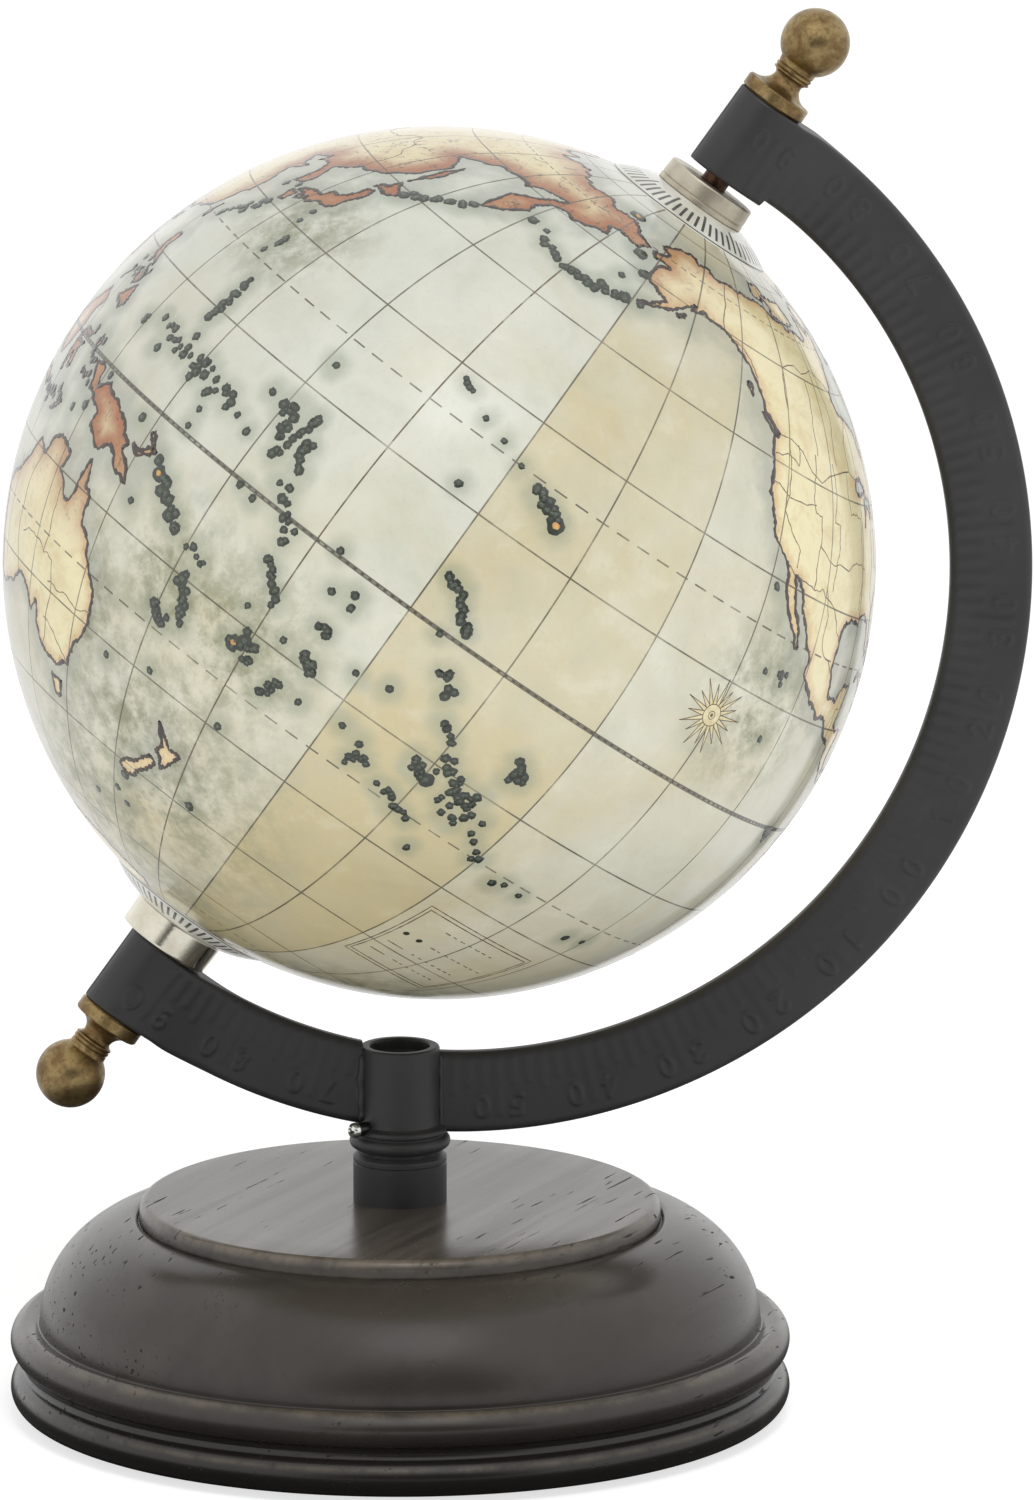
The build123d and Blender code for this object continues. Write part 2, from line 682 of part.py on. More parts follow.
save(make_half_shell(UPPER_POLE), "north_shell")
save(make_half_shell(LOWER_POLE), "south_shell")
save(make_equator_hoop(), "equator_hoop")
save(make_pole_bush(UPPER_POLE, UPPER_FERRULE_H), "north_pole_bush")
save(make_pole_bush(LOWER_POLE, LOWER_FERRULE_H), "south_pole_bush")
save(make_ferrule(UPPER_POLE, UPPER_FERRULE_H), "upper_ferrule")
save(make_ferrule(LOWER_POLE, LOWER_FERRULE_H), "lower_ferrule")
for gore_number in range(GORE_COUNT):
    save(make_gore(gore_number), f"map_gore_{gore_number + 1:02d}")
save(make_calotte(UPPER_POLE), "north_calotte")
save(make_calotte(LOWER_POLE), "south_calotte")
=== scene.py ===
import json
import math

import bpy
import numpy as np
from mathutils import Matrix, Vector


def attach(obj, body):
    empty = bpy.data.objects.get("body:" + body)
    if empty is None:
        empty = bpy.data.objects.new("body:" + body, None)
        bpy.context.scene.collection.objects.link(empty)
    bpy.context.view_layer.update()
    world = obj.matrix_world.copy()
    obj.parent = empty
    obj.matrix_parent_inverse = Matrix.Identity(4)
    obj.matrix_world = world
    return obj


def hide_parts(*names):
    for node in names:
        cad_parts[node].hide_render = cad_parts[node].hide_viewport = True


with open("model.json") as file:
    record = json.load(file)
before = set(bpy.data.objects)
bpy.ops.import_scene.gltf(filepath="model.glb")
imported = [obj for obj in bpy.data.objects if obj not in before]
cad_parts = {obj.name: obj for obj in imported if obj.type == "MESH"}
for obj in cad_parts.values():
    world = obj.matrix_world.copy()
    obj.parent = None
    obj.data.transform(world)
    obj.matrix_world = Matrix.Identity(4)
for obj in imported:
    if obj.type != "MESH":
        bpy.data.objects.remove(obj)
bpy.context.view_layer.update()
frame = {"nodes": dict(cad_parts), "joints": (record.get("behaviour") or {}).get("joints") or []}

MM = 0.001
SPIN = next(joint for joint in frame["joints"] if joint["name"] == "globe_spin")

# Sizes in millimetres, as in the part's source
GLOBE_R = 63.5
PAPER_T = 0.25
CALOTTE_R = 13.6
CALOTTE_RISE = 1.2
CALOTTE_BULGE = 0.3
CALOTTE_FLAT_R = 7.35
GORE_COUNT = 12
GORE_TURN = 18.0
BUSH_R = 5.0
UPPER_FERRULE_H = 4.6
LOWER_FERRULE_H = 5.6
FERRULE_RIM_R = 6.95
FERRULE_FOOT_R = 7.15
FERRULE_ROOF_T = 1.5
FERRULE_BORE_R = 2.35
UPPER_EYE_FACE = GLOBE_R + UPPER_FERRULE_H + 1.5
LOWER_EYE_FACE = GLOBE_R + LOWER_FERRULE_H + 0.15
PAD_HEIGHT = 0.8
PAD_REACH = 6.8
ARC_OFFSET = 5.8
ARC_WIDTH = 12.1
ARC_HALF_T = 1.6
ARC_EDGE_R = 1.2
EYE_R = 5.1
ARC_SHIFT = (UPPER_EYE_FACE + PAD_HEIGHT - LOWER_EYE_FACE) / 2
ARC_INNER_R = math.hypot((UPPER_EYE_FACE + PAD_HEIGHT + LOWER_EYE_FACE) / 2, ARC_OFFSET)
ARC_OUTER_R = ARC_INNER_R + ARC_WIDTH
SEAT_HALF_SPAN = math.sqrt(ARC_OUTER_R ** 2 - ARC_OFFSET ** 2)
UPPER_SEAT = SEAT_HALF_SPAN + ARC_SHIFT
LOWER_SEAT = SEAT_HALF_SPAN - ARC_SHIFT
FELT_STAND = 0.7
WOOD_TOP = 31.7
TUBE_TOP = 38.9
ARM_FOOT = 39.5
SOCKET_TOP = 54.8

# Directions of the ball: towards the upper pole, across it in the arm's plane, and to the back
BALL = np.array(SPIN["pos_m"]) / MM
UP = np.array(SPIN["axis"]) / np.linalg.norm(SPIN["axis"])
BACK = np.array((0.0, 1.0, 0.0))
ACROSS = np.cross(BACK, UP)
ARC_CENTRE = BALL + ACROSS * ARC_OFFSET + UP * ARC_SHIFT

# The printed map: the longitude that stands across, and how far the print sits from the ball's own latitude
MAP_LON = -63.0
MAP_SHIFT = 1.3

DEGREE_MM = GLOBE_R * math.pi / 180


def srgb(red, green, blue):
    """Linear colour from display values of 0 to 255."""
    linear = []
    for value in (red, green, blue):
        share = value / 255
        linear.append(share / 12.92 if share <= 0.04045 else ((share + 0.055) / 1.055) ** 2.4)
    return (*linear, 1.0)


class Nodes:
    """A shader's node tree, built node by node."""

    def __init__(self, tree):
        self.tree = tree

    def put(self, socket, value):
        if isinstance(value, bpy.types.NodeSocket):
            self.tree.links.new(value, socket)
        else:
            socket.default_value = value

    def node(self, kind, settings=None, inputs=None):
        node = self.tree.nodes.new("ShaderNode" + kind)
        for key, value in (settings or {}).items():
            setattr(node, key, value)
        for key, value in (inputs or {}).items():
            self.put(node.inputs[key], value)
        return node

    def math(self, operation, first, second=0.0, third=0.0):
        node = self.node("Math", {"operation": operation}, {0: first, 1: second, 2: third})
        return node.outputs[0]

    def step(self, value, low, high, bottom=0.0):
        """Bottom at low, 1 at high, smooth between them."""
        inputs = {"Value": value, "From Min": low, "From Max": high, "To Min": bottom}
        return self.node("MapRange", {"interpolation_type": "SMOOTHSTEP"}, inputs).outputs[0]


class Look(Nodes):
    """A procedural material of the object."""

    def __init__(self, name):
        self.material = bpy.data.materials.new(name)
        self.material.use_nodes = True
        super().__init__(self.material.node_tree)
        self.shader = self.tree.nodes["Principled BSDF"]

    def surface(self, **values):
        for key, value in values.items():
            self.put(self.shader.inputs[key.replace("_", " ")], value)

    def product(self, *values):
        """All the values multiplied."""
        result = values[0]
        for value in values[1:]:
            result = self.math("MULTIPLY", result, value)
        return result

    def sway(self, value, noise, amount):
        """A value moved up and down by a noise, half of the amount each way."""
        return self.math("MULTIPLY_ADD", self.math("SUBTRACT", noise, 0.5), amount, value)

    def mix(self, share, first, second, blend="MIX"):
        node = self.node("Mix", {"data_type": "RGBA", "blend_type": blend})
        self.put(node.inputs[0], share)
        self.put(node.inputs[6], first)
        self.put(node.inputs[7], second)
        return node.outputs[2]

    def place(self, stretch=(1, 1, 1), turn=(0, 0, 0)):
        """Object coordinates turned first and stretched after."""
        coordinates = self.node("TexCoord").outputs["Object"]
        turned = self.node("Mapping", None, {"Vector": coordinates, "Rotation": turn}).outputs[0]
        return self.node("Mapping", None, {"Vector": turned, "Scale": stretch}).outputs[0]

    def height(self):
        """Height over the table, in metres."""
        coordinates = self.node("TexCoord").outputs["Object"]
        return self.node("SeparateXYZ", None, {0: coordinates}).outputs["Z"]

    def noise(self, scale, detail=3.0, roughness=0.5, vector=None, distortion=0.0):
        inputs = {"Scale": scale, "Detail": detail, "Roughness": roughness, "Distortion": distortion}
        inputs["Vector"] = vector or self.node("TexCoord").outputs["Object"]
        return self.node("TexNoise", None, inputs).outputs[0]

    def attribute(self, name):
        return self.node("Attribute", {"attribute_name": name}).outputs["Fac"]

    def bump(self, height, distance, strength=1.0):
        inputs = {"Height": height, "Distance": distance, "Strength": strength}
        relief = self.node("Bump", None, inputs).outputs[0]
        self.put(self.shader.inputs["Normal"], relief)
        self.put(self.shader.inputs["Coat Normal"], relief)


# Meshes


def add_mesh(name, points_mm, faces, look, body, smooth=True):
    """New piece from points in millimetres, with its material, riding on a body."""
    mesh = bpy.data.meshes.new(name)
    mesh.from_pydata((np.asarray(points_mm) * MM).tolist(), [], faces)
    mesh.polygons.foreach_set("use_smooth", [smooth] * len(mesh.polygons))
    mesh.materials.append(look.material)
    mesh.update()
    piece = bpy.data.objects.new(name, mesh)
    bpy.context.scene.collection.objects.link(piece)
    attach(piece, body)
    return piece


def stands_for(piece, slot, *nodes):
    """The piece shows in place of the nodes, which are hidden; the slot is not used."""
    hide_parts(*nodes)


def set_values(piece, name, values):
    """Stores one number per point, for the material."""
    attribute = piece.data.attributes.new(name, "FLOAT", "POINT")
    attribute.data.foreach_set("value", np.asarray(values, np.float32))


def grid_faces(rows, columns, wrap=False):
    """Faces of a grid of points, row by row."""
    across = columns if wrap else columns - 1
    row, column = np.meshgrid(np.arange(rows - 1), np.arange(across), indexing="ij")
    first = row * columns + column
    second = row * columns + (column + 1) % columns
    return np.stack((first, second, second + columns, first + columns), -1).reshape(-1, 4).tolist()


CORNER_STEPS = 6
SUPPORT_SHARE = 0.25


def rounded(points, closed=False):
    """Outline of (reach, along, corner radius) points with its corners rounded."""
    path = []
    count = len(points)
    for number, (reach, along, radius) in enumerate(points):
        corner = np.array((reach, along), float)
        if radius == 0 or (not closed and number in (0, count - 1)):
            path.append(corner)
            continue
        sides = []
        for neighbour in (points[number - 1], points[(number + 1) % count]):
            side = np.array(neighbour[:2]) - corner
            sides.append((side / np.linalg.norm(side), np.linalg.norm(side)))
        (before, room_before), (after, room_after) = sides
        half_angle = math.acos(np.clip(before @ after, -1, 1)) / 2
        cut = min(radius / math.tan(half_angle), 0.4 * room_before, 0.4 * room_after)
        start = corner + before * cut
        end = corner + after * cut
        path.append(start + before * cut * SUPPORT_SHARE)
        for share in np.linspace(0, 1, CORNER_STEPS):
            path.append((1 - share) ** 2 * start + 2 * share * (1 - share) * corner + share ** 2 * end)
        path.append(end + after * cut * SUPPORT_SHARE)
    return np.array(path)


def arc_points(centre, radii, start, stop, count):
    """Points (reach, along, 0) of an arc or ellipse, angles in degrees."""
    angles = np.radians(np.linspace(start, stop, count))
    return [(centre[0] + radii[0] * math.cos(a), centre[1] + radii[1] * math.sin(a), 0) for a in angles]


def lathe(name, path, origin, axis, look, body, segments=192, closed=False):
    """Turned piece: an outline of (reach, along) revolved about an axis."""
    axis = np.asarray(axis, float)
    side = np.cross(axis, BACK)
    if np.linalg.norm(side) < 0.1:
        side = np.array((1.0, 0, 0))
    side = side / np.linalg.norm(side)
    other = np.cross(axis, side)
    angles = np.linspace(0, 2 * math.pi, segments, endpoint=False)
    spokes = np.outer(np.cos(angles), side) + np.outer(np.sin(angles), other)
    path = np.asarray(path, float)
    if closed:
        path = np.vstack((path, path[:1]))
    points = origin + path[:, None, 1:2] * axis + path[:, None, 0:1] * spokes[None]
    points = points.reshape(-1, 3)
    faces = grid_faces(len(path), segments, wrap=True)
    if closed:
        last = (len(path) - 1) * segments
        faces = [[index - last if index >= last else index for index in face] for face in faces]
        points = points[:last]
    else:
        for row, reach in ((0, path[0, 0]), (len(path) - 1, path[-1, 0])):
            if reach > 0:
                continue
            pole = len(points)
            points = np.vstack((points, origin + path[row, 1] * axis))
            ring = range(row * segments, (row + 1) * segments)
            remove = set(ring)
            neighbour = range((row - 1) * segments, row * segments) if row else range(segments, 2 * segments)
            neighbour = list(neighbour)
            faces = [face for face in faces if not remove & set(face)]
            for index, corner in enumerate(neighbour):
                following = neighbour[(index + 1) % segments]
                faces.append([corner, following, pole] if row else [following, corner, pole])
    used = sorted({index for face in faces for index in face})
    order = {old: new for new, old in enumerate(used)}
    faces = [[order[index] for index in face] for face in faces]
    return add_mesh(name, points[used], faces, look, body)


# Materials

# The set screw, in metres: its turn round the post, its height, where its head begins, the radius of its
# middle painted dark as the shade of its socket
SCREW_TURN = math.radians(30)
SCREW_Z = 0.0431
SCREW_HEAD = 0.0080
SCREW_HOLLOW_R = 0.00042
SCREW_SOFT = 0.0003

# How the wood's grain is turned, and the heights in metres over which the top disc is painted paler, a
# painted reflection of the bright surroundings, and the foot painted darker, painted shade under the beads
GRAIN_TURN = (0, 0, math.radians(-58))
SHEEN_TOP = (0.0296, 0.0312)
FOOT_SHADE = (0.0150, 0.0050)


def make_paint():
    """Satin black paint on cast metal: a fine orange-peel skin and dusty patches."""
    look = Look("black_paint")
    patches = look.step(look.noise(60.0, 4.0, 0.6), 0.35, 0.75)
    look.surface(
        Base_Color=look.mix(patches, srgb(41, 41, 42), srgb(51, 50, 51)),
        Roughness=look.math("MULTIPLY_ADD", patches, 0.10, 0.44),
    )
    look.bump(look.noise(1500.0, 3.0, 0.6), 0.00004, 0.4)
    return look


def make_wood():
    """Dark stained wood: long fibres, open pores, and a satin lacquer; the top disc is painted paler as a
    painted reflection, the foot darker as painted shade, and the edges lighter as painted highlights and
    wear.
    """
    look = Look("turned_wood")
    fibre = look.noise(1.0, 6.0, 0.62, look.place((16.0, 300.0, 300.0), GRAIN_TURN), 0.4)
    bands = look.noise(1.0, 3.0, 0.5, look.place((6.0, 45.0, 45.0), GRAIN_TURN), 0.8)
    pores_at = look.noise(1.0, 2.0, 0.5, look.place((75.0, 1200.0, 1200.0), GRAIN_TURN))
    pores = look.product(look.step(pores_at, 0.645, 0.70), look.step(bands, 0.40, 0.6))
    wood_tone = look.mix(look.step(bands, 0.3, 0.72), srgb(52, 47, 43), srgb(66, 60, 55))
    wood_tone = look.mix(look.product(look.step(fibre, 0.4, 0.75), 0.5), wood_tone, srgb(46, 40, 36))
    # The top disc is painted paler over the grain: a painted reflection of the bright surroundings on its
    # top.
    top_sheen = look.mix(look.step(fibre, 0.36, 0.64), srgb(106, 98, 90), srgb(74, 68, 62))
    wood_tone = look.mix(look.product(look.step(look.height(), *SHEEN_TOP), 0.7), wood_tone, top_sheen)
    # The foot is painted darker towards the table: painted shade under the beads.
    wood_tone = look.mix(look.product(look.step(look.height(), *FOOT_SHADE), 0.85), wood_tone, srgb(22, 19, 17))
    wood_tone = look.mix(look.product(pores, 0.55), wood_tone, srgb(17, 14, 12))
    # The edges are painted lighter in patches: painted highlights, and wear of the stained finish.
    patchy = look.step(look.noise(110.0, 6.0, 0.7), 0.36, 0.66)
    wear_and_highlight = look.product(look.attribute("wear_and_highlight"), patchy, 0.4)
    wood_tone = look.mix(wear_and_highlight, wood_tone, srgb(128, 116, 98))
    worn = look.step(look.noise(26.0, 5.0, 0.65), 0.6, 0.8)
    satin = look.math("MULTIPLY_ADD", fibre, 0.14, 0.18)
    look.surface(
        Base_Color=look.mix(look.product(worn, 0.35), wood_tone, srgb(98, 89, 78)),
        Roughness=look.math("MAXIMUM", satin, look.product(pores, 0.9)),
        Specular_IOR_Level=0.5,
    )
    skin = look.math("MULTIPLY_ADD", look.noise(1500.0, 3.0, 0.6), 0.3, look.product(fibre, 0.3))
    look.bump(look.math("SUBTRACT", skin, pores), 0.00006, 0.5)
    return look


def make_brass():
    """Old brass: a brown and green-grey patina in blotches over turned metal."""
    look = Look("brass")
    patina = look.step(look.noise(300.0, 6.0, 0.7, None, 0.6), 0.36, 0.64)
    specks = look.step(look.noise(1400.0, 4.0, 0.65), 0.50, 0.68)
    metal = look.mix(patina, srgb(156, 136, 94), srgb(118, 94, 61))
    look.surface(
        Base_Color=look.mix(look.product(specks, 0.5), metal, srgb(88, 64, 41)),
        Metallic=0.9,
        Roughness=look.math("MULTIPLY_ADD", patina, 0.16, 0.27),
    )
    look.bump(look.noise(1300.0, 4.0, 0.65), 0.00006, 0.6)
    return look


def make_nickel(name, clear, dull, low_roughness):
    """Nickel plate with fine turning marks and cloudy patches."""
    look = Look(name)
    clouds = look.step(look.noise(180.0, 5.0, 0.6), 0.35, 0.7)
    look.surface(
        Base_Color=look.mix(clouds, clear, dull),
        Metallic=1.0,
        Roughness=look.math("MULTIPLY_ADD", clouds, 0.12, low_roughness),
    )
    look.bump(look.noise(2600.0, 2.0, 0.5), 0.00002, 0.4)
    return look


def make_steel(name, colour, worn, roughness):
    """Turned steel with a thin brown or grey skin."""
    look = Look(name)
    skin = look.step(look.noise(420.0, 5.0, 0.65), 0.4, 0.68)
    look.surface(
        Base_Color=look.mix(skin, colour, worn),
        Metallic=0.85,
        Roughness=look.math("MULTIPLY_ADD", skin, 0.15, roughness),
    )
    look.bump(look.noise(1800.0, 3.0, 0.5), 0.00003, 0.4)
    return look


def make_screw():
    """Black-oiled screw whose head is worn bright; the middle of the head is painted dark, black oil and
    painted shade of its socket.
    """
    look = Look("screw_steel")
    out = (-math.cos(SCREW_TURN), -math.sin(SCREW_TURN), 0)
    across = (math.sin(SCREW_TURN), -math.cos(SCREW_TURN), 0)
    coordinates = look.node("TexCoord").outputs["Object"]

    def along(direction):
        inputs = {0: coordinates, 1: direction}
        return look.node("VectorMath", {"operation": "DOT_PRODUCT"}, inputs).outputs["Value"]

    reach = along(out)
    aside = along(across)
    rise = look.math("SUBTRACT", look.height(), SCREW_Z)
    off = look.math("SQRT", look.math("ADD", look.product(rise, rise), look.product(aside, aside)))
    # The middle of the head is painted dark: painted shade of the head's socket.
    middle = look.step(off, SCREW_HOLLOW_R + 0.00013, SCREW_HOLLOW_R)
    hollow = look.product(middle, look.step(reach, SCREW_HEAD, SCREW_HEAD + SCREW_SOFT))
    head = look.step(reach, SCREW_HEAD - SCREW_SOFT, SCREW_HEAD)
    bare = look.product(head, look.math("SUBTRACT", 1.0, hollow))
    look.surface(
        Base_Color=look.mix(bare, srgb(22, 22, 23), srgb(226, 226, 222)),
        Metallic=look.product(bare, 1.0),
        Roughness=look.math("MULTIPLY_ADD", look.noise(2500.0, 3.0, 0.6), 0.1, 0.14),
    )
    return look


def make_felt():
    """Dark green felt with loose fibres."""
    look = Look("felt")
    fibres = look.noise(1400.0, 6.0, 0.75, None, 1.5)
    look.surface(
        Base_Color=look.mix(look.step(fibres, 0.3, 0.7), srgb(38, 52, 42), srgb(66, 82, 68)),
        Roughness=0.95,
        Sheen_Weight=0.4,
    )
    look.bump(fibres, 0.0004, 0.8)
    return look


def make_plastic():
    """Pale moulded plastic of the half balls and bushes."""
    look = Look("shell_plastic")
    grain = look.noise(700.0, 4.0, 0.6)
    look.surface(
        Base_Color=look.mix(look.step(grain, 0.3, 0.7), srgb(206, 198, 180), srgb(218, 211, 195)),
        Roughness=0.6,
    )
    look.bump(grain, 0.00005, 0.4)
    return look


LACQUER = {"Roughness": 0.55, "Coat_Weight": 1.0, "Coat_Roughness": 0.13, "Coat_IOR": 1.5}

# The printed grid, in degrees: its pitch, half width of a line, its soft edge, where the equator's rails lie
GRID_PITCH = 15.0
LINE_HALF = 0.085
LINE_SOFT = 0.06
RAIL_AT = 0.21
BROKEN_CIRCLES = (23.44, -23.44, 66.56, -66.56)
# The polar caps: degrees between ticks, and reaches in millimetres of the ticks and of the ring round them
TICK_PITCH = 6.0
TICK_INNER = 10.0
TICK_OUTER = 12.7
LONG_TICK = 1.2
CAP_RING_R = 13.3


def stripe(look, value, half_width, soft):
    """1 on a line where the value is near zero."""
    return look.step(look.math("ABSOLUTE", value), half_width + soft, half_width)


def off_multiple(look, value, pitch):
    """Distance of a value from the nearest multiple of a pitch, with its sign."""
    shifted = look.math("ADD", value, pitch / 2 + 360)
    return look.math("SUBTRACT", look.math("FLOORED_MODULO", shifted, pitch), pitch / 2)


def dashes(look, value, pitch, share):
    """1 on the dashes of a broken line."""
    phase = look.math("FRACT", look.math("ADD", look.math("DIVIDE", value, pitch), 100.0))
    return look.math("LESS_THAN", phase, share)


def make_map_paper():
    """Aged printed map under lacquer: sea and land tints, shaded coasts, grid lines and stains."""
    look = Look("map_paper")
    coast, isle, lon, lat = (look.attribute(name) for name in ("coast", "isle", "lon", "lat"))
    warm, stain_and_shade, red = (look.attribute(name) for name in ("warm", "stain_and_shade", "red"))
    cloud = look.noise(40.0, 6.0, 0.62, None, 0.5)
    blotch = look.noise(125.0, 5.0, 0.65, None, 0.3)
    fine = look.noise(420.0, 5.0, 0.7)
    grain = look.noise(1700.0, 3.0, 0.6)

    warmth = look.step(look.sway(warm, cloud, 1.1), 0.0, 1.0)
    sea = look.mix(warmth, srgb(213, 215, 202), srgb(202, 188, 144))
    sea = look.mix(look.product(look.step(blotch, 0.45, 0.72), 0.30), sea, srgb(183, 184, 164))
    sea = look.mix(look.product(look.step(blotch, 0.48, 0.28), 0.28), sea, srgb(230, 228, 212))
    near_isle = look.step(look.sway(isle, blotch, 6.0), 3.0, 0.0)
    sea = look.mix(look.product(near_isle, 0.5), sea, srgb(134, 144, 122))
    near_land = look.step(look.sway(coast, blotch, 9.0), -4.6, -0.2)
    sea = look.mix(look.product(near_land, 0.55), sea, srgb(151, 156, 142))
    mottle = look.step(look.sway(fine, blotch, 0.9), 0.3, 0.75)
    # Foxing stains, with painted shade where the patches round New Zealand and Fiji darken the ball's lower
    # left.
    sea = look.mix(look.product(stain_and_shade, mottle, 0.85), sea, srgb(126, 128, 94))

    relief = look.step(look.noise(170.0, 8.0, 0.75, None, 0.9), 0.44, 0.66)
    land = look.mix(look.product(relief, 0.5), srgb(238, 227, 182), srgb(212, 188, 126))
    shore = look.step(look.sway(coast, fine, 2.6), 2.2, 0.1)
    land = look.mix(look.product(shore, 0.5), land, srgb(200, 146, 82))
    inland = look.step(look.sway(coast, blotch, 5.0), 5.5, 0.3)
    reddened = look.product(red, look.math("MULTIPLY_ADD", inland, 0.8, 0.12))
    land = look.mix(reddened, land, srgb(158, 84, 38))
    ridges = look.step(look.noise(480.0, 6.0, 0.7, None, 1.6), 0.54, 0.68)
    ridges = look.product(ridges, look.math("MAXIMUM", red, look.product(shore, 0.6)), 0.8)
    land = look.mix(ridges, land, srgb(70, 42, 31))
    print_colour = look.mix(look.step(coast, -0.12, 0.12), sea, land)

    cosine = look.math("COSINE", look.math("RADIANS", lat))
    meridian = look.product(off_multiple(look, lon, GRID_PITCH), cosine)
    lines = look.math(
        "MAXIMUM",
        stripe(look, meridian, LINE_HALF, LINE_SOFT),
        stripe(look, off_multiple(look, lat, GRID_PITCH), LINE_HALF, LINE_SOFT),
    )
    broken = dashes(look, lon, 3.6, 0.6)
    for circle in BROKEN_CIRCLES:
        line = stripe(look, look.math("SUBTRACT", lat, circle), LINE_HALF, LINE_SOFT)
        lines = look.math("MAXIMUM", lines, look.product(line, broken))
    faded = look.math("MULTIPLY_ADD", look.step(blotch, 0.3, 0.6), 0.45, 0.5)
    print_colour = look.mix(look.product(lines, faded), print_colour, srgb(84, 76, 58))
    rails = stripe(look, look.math("SUBTRACT", look.math("ABSOLUTE", lat), RAIL_AT), 0.06, LINE_SOFT)
    ties = look.product(stripe(look, lat, RAIL_AT, LINE_SOFT), dashes(look, lon, 1.2, 0.4))
    equator = look.product(look.math("MAXIMUM", rails, ties), 0.85)
    print_colour = look.mix(equator, print_colour, srgb(58, 52, 42))

    stains = look.step(look.noise(15.0, 6.0, 0.7, None, 1.0), 0.5, 0.78)
    aged = look.mix(look.product(stains, 0.35), print_colour, srgb(203, 184, 142), "MULTIPLY")
    aged = look.mix(look.product(look.step(grain, 0.55, 0.8), 0.12), aged, srgb(140, 126, 96))
    look.surface(Base_Color=aged, **LACQUER)
    waves = look.sway(look.noise(160.0, 4.0, 0.6), look.noise(900.0, 4.0, 0.7), 0.12)
    look.bump(waves, 0.0001, 0.4)
    return look


def make_ink(name, thin, thick):
    """Printing ink under the map's lacquer, uneven from place to place."""
    look = Look(name)
    blots = look.step(look.noise(900.0, 4.0, 0.65), 0.3, 0.7)
    look.surface(Base_Color=look.mix(blots, thin, thick), **LACQUER)
    return look


def make_calotte_paper():
    """White paper caps with a ring of bold black ticks between two thin circles."""
    look = Look("calotte_paper")
    turn = look.attribute("turn")
    reach = look.attribute("reach")
    near = look.product(off_multiple(look, turn, TICK_PITCH), reach, math.pi / 180)
    ticks = stripe(look, near, 0.2, 0.06)
    off_long = look.math("ABSOLUTE", off_multiple(look, turn, 5 * TICK_PITCH))
    is_long = look.math("LESS_THAN", off_long, TICK_PITCH / 2)
    inner = look.math("MULTIPLY_ADD", is_long, -LONG_TICK, TICK_INNER)
    past_inner = look.math("GREATER_THAN", reach, inner)
    ticks = look.product(ticks, past_inner, look.math("LESS_THAN", reach, TICK_OUTER))
    ring = stripe(look, look.math("SUBTRACT", reach, CAP_RING_R), 0.1, 0.06)
    marks = look.math("MAXIMUM", ticks, ring)
    age = look.step(look.noise(120.0, 5.0, 0.6), 0.4, 0.75)
    paper = look.mix(age, srgb(224, 224, 215), srgb(203, 200, 184))
    look.surface(Base_Color=look.mix(look.product(marks, 0.92), paper, srgb(28, 27, 25)), **LACQUER)
    look.bump(look.noise(300.0, 3.0, 0.5), 0.00003, 0.3)
    return look


PAINT = make_paint()
WOOD = make_wood()
BRASS = make_brass()
NICKEL = make_nickel("nickel", srgb(228, 224, 208), srgb(208, 202, 184), 0.05)
MATTE_NICKEL = make_nickel("matte_nickel", srgb(196, 188, 170), srgb(170, 162, 144), 0.36)
STEEL = make_steel("steel", srgb(150, 150, 150), srgb(112, 110, 106), 0.3)
# Steel painted dark for the swivel washer: painted shade of the gap between the tube and the socket.
GAP_SHADE_STEEL = make_steel("gap_shade_steel", srgb(60, 60, 60), srgb(44, 43, 42), 0.4)
BROWN_STEEL = make_steel("brown_steel", srgb(88, 64, 48), srgb(54, 38, 29), 0.35)
SCREW_STEEL = make_screw()
FELT = make_felt()
PLASTIC = make_plastic()
MAP_PAPER = make_map_paper()
CALOTTE_PAPER = make_calotte_paper()
COAST_INK = make_ink("coast_ink", srgb(64, 47, 34), srgb(36, 26, 19))
BORDER_INK = make_ink("border_ink", srgb(118, 94, 68), srgb(90, 70, 50))
ISLE_INK = make_ink("isle_ink", srgb(52, 60, 46), srgb(31, 37, 28))
ISLE_CENTRE = make_ink("isle_centre", srgb(84, 94, 76), srgb(56, 64, 50))
ISLE_FILL = make_ink("isle_fill", srgb(214, 172, 100), srgb(190, 130, 66))
ROSE_INK = make_ink("rose_ink", srgb(110, 90, 60), srgb(74, 60, 42))
ROSE_FILL = make_ink("rose_fill", srgb(226, 214, 172), srgb(206, 190, 144))

CAD_LOOKS = {
    "base_felt_pad": FELT,
    "pedestal_stud": STEEL,
    "post_washer": STEEL,
    "post_nut": STEEL,
    "swivel_washer": GAP_SHADE_STEEL,
    "set_screw": SCREW_STEEL,
    "axle_rod": BROWN_STEEL,
    "north_shell": PLASTIC,
    "south_shell": PLASTIC,
    "equator_hoop": PLASTIC,
    "north_pole_bush": PLASTIC,
    "south_pole_bush": PLASTIC,
}
for node, look in CAD_LOOKS.items():
    materials = frame["nodes"][node].data.materials
    materials.clear()
    materials.append(look.material)


# Base and post

UPRIGHT = (np.zeros(3), (0, 0, 1))

FELT_RECESS_R = 49.2
FOOT_R = 51.5
BEAD_OUTER_R = 57.2
BEAD_R = 2.85
LOWER_BEAD_Z = FELT_STAND + 3.1
UPPER_BEAD_Z = FELT_STAND + 10.2
DOME_R = 52.9
DOME_CORNER = (16.5, 15.8)
DOME_Z = FELT_STAND + 12.8
TOP_DISC_R = 38.2
QUIRK_W = 0.4
DOME_STOP = math.degrees(math.acos((TOP_DISC_R + QUIRK_W - (DOME_R - DOME_CORNER[0])) / DOME_CORNER[0]))
TOP_DISC_H = 3.3
TOP_EDGE = (1.3, 1.5)
TOP_RINGS = (30.0, 20.0, 10.0, 0)
BEAD_VALLEY = 2.1

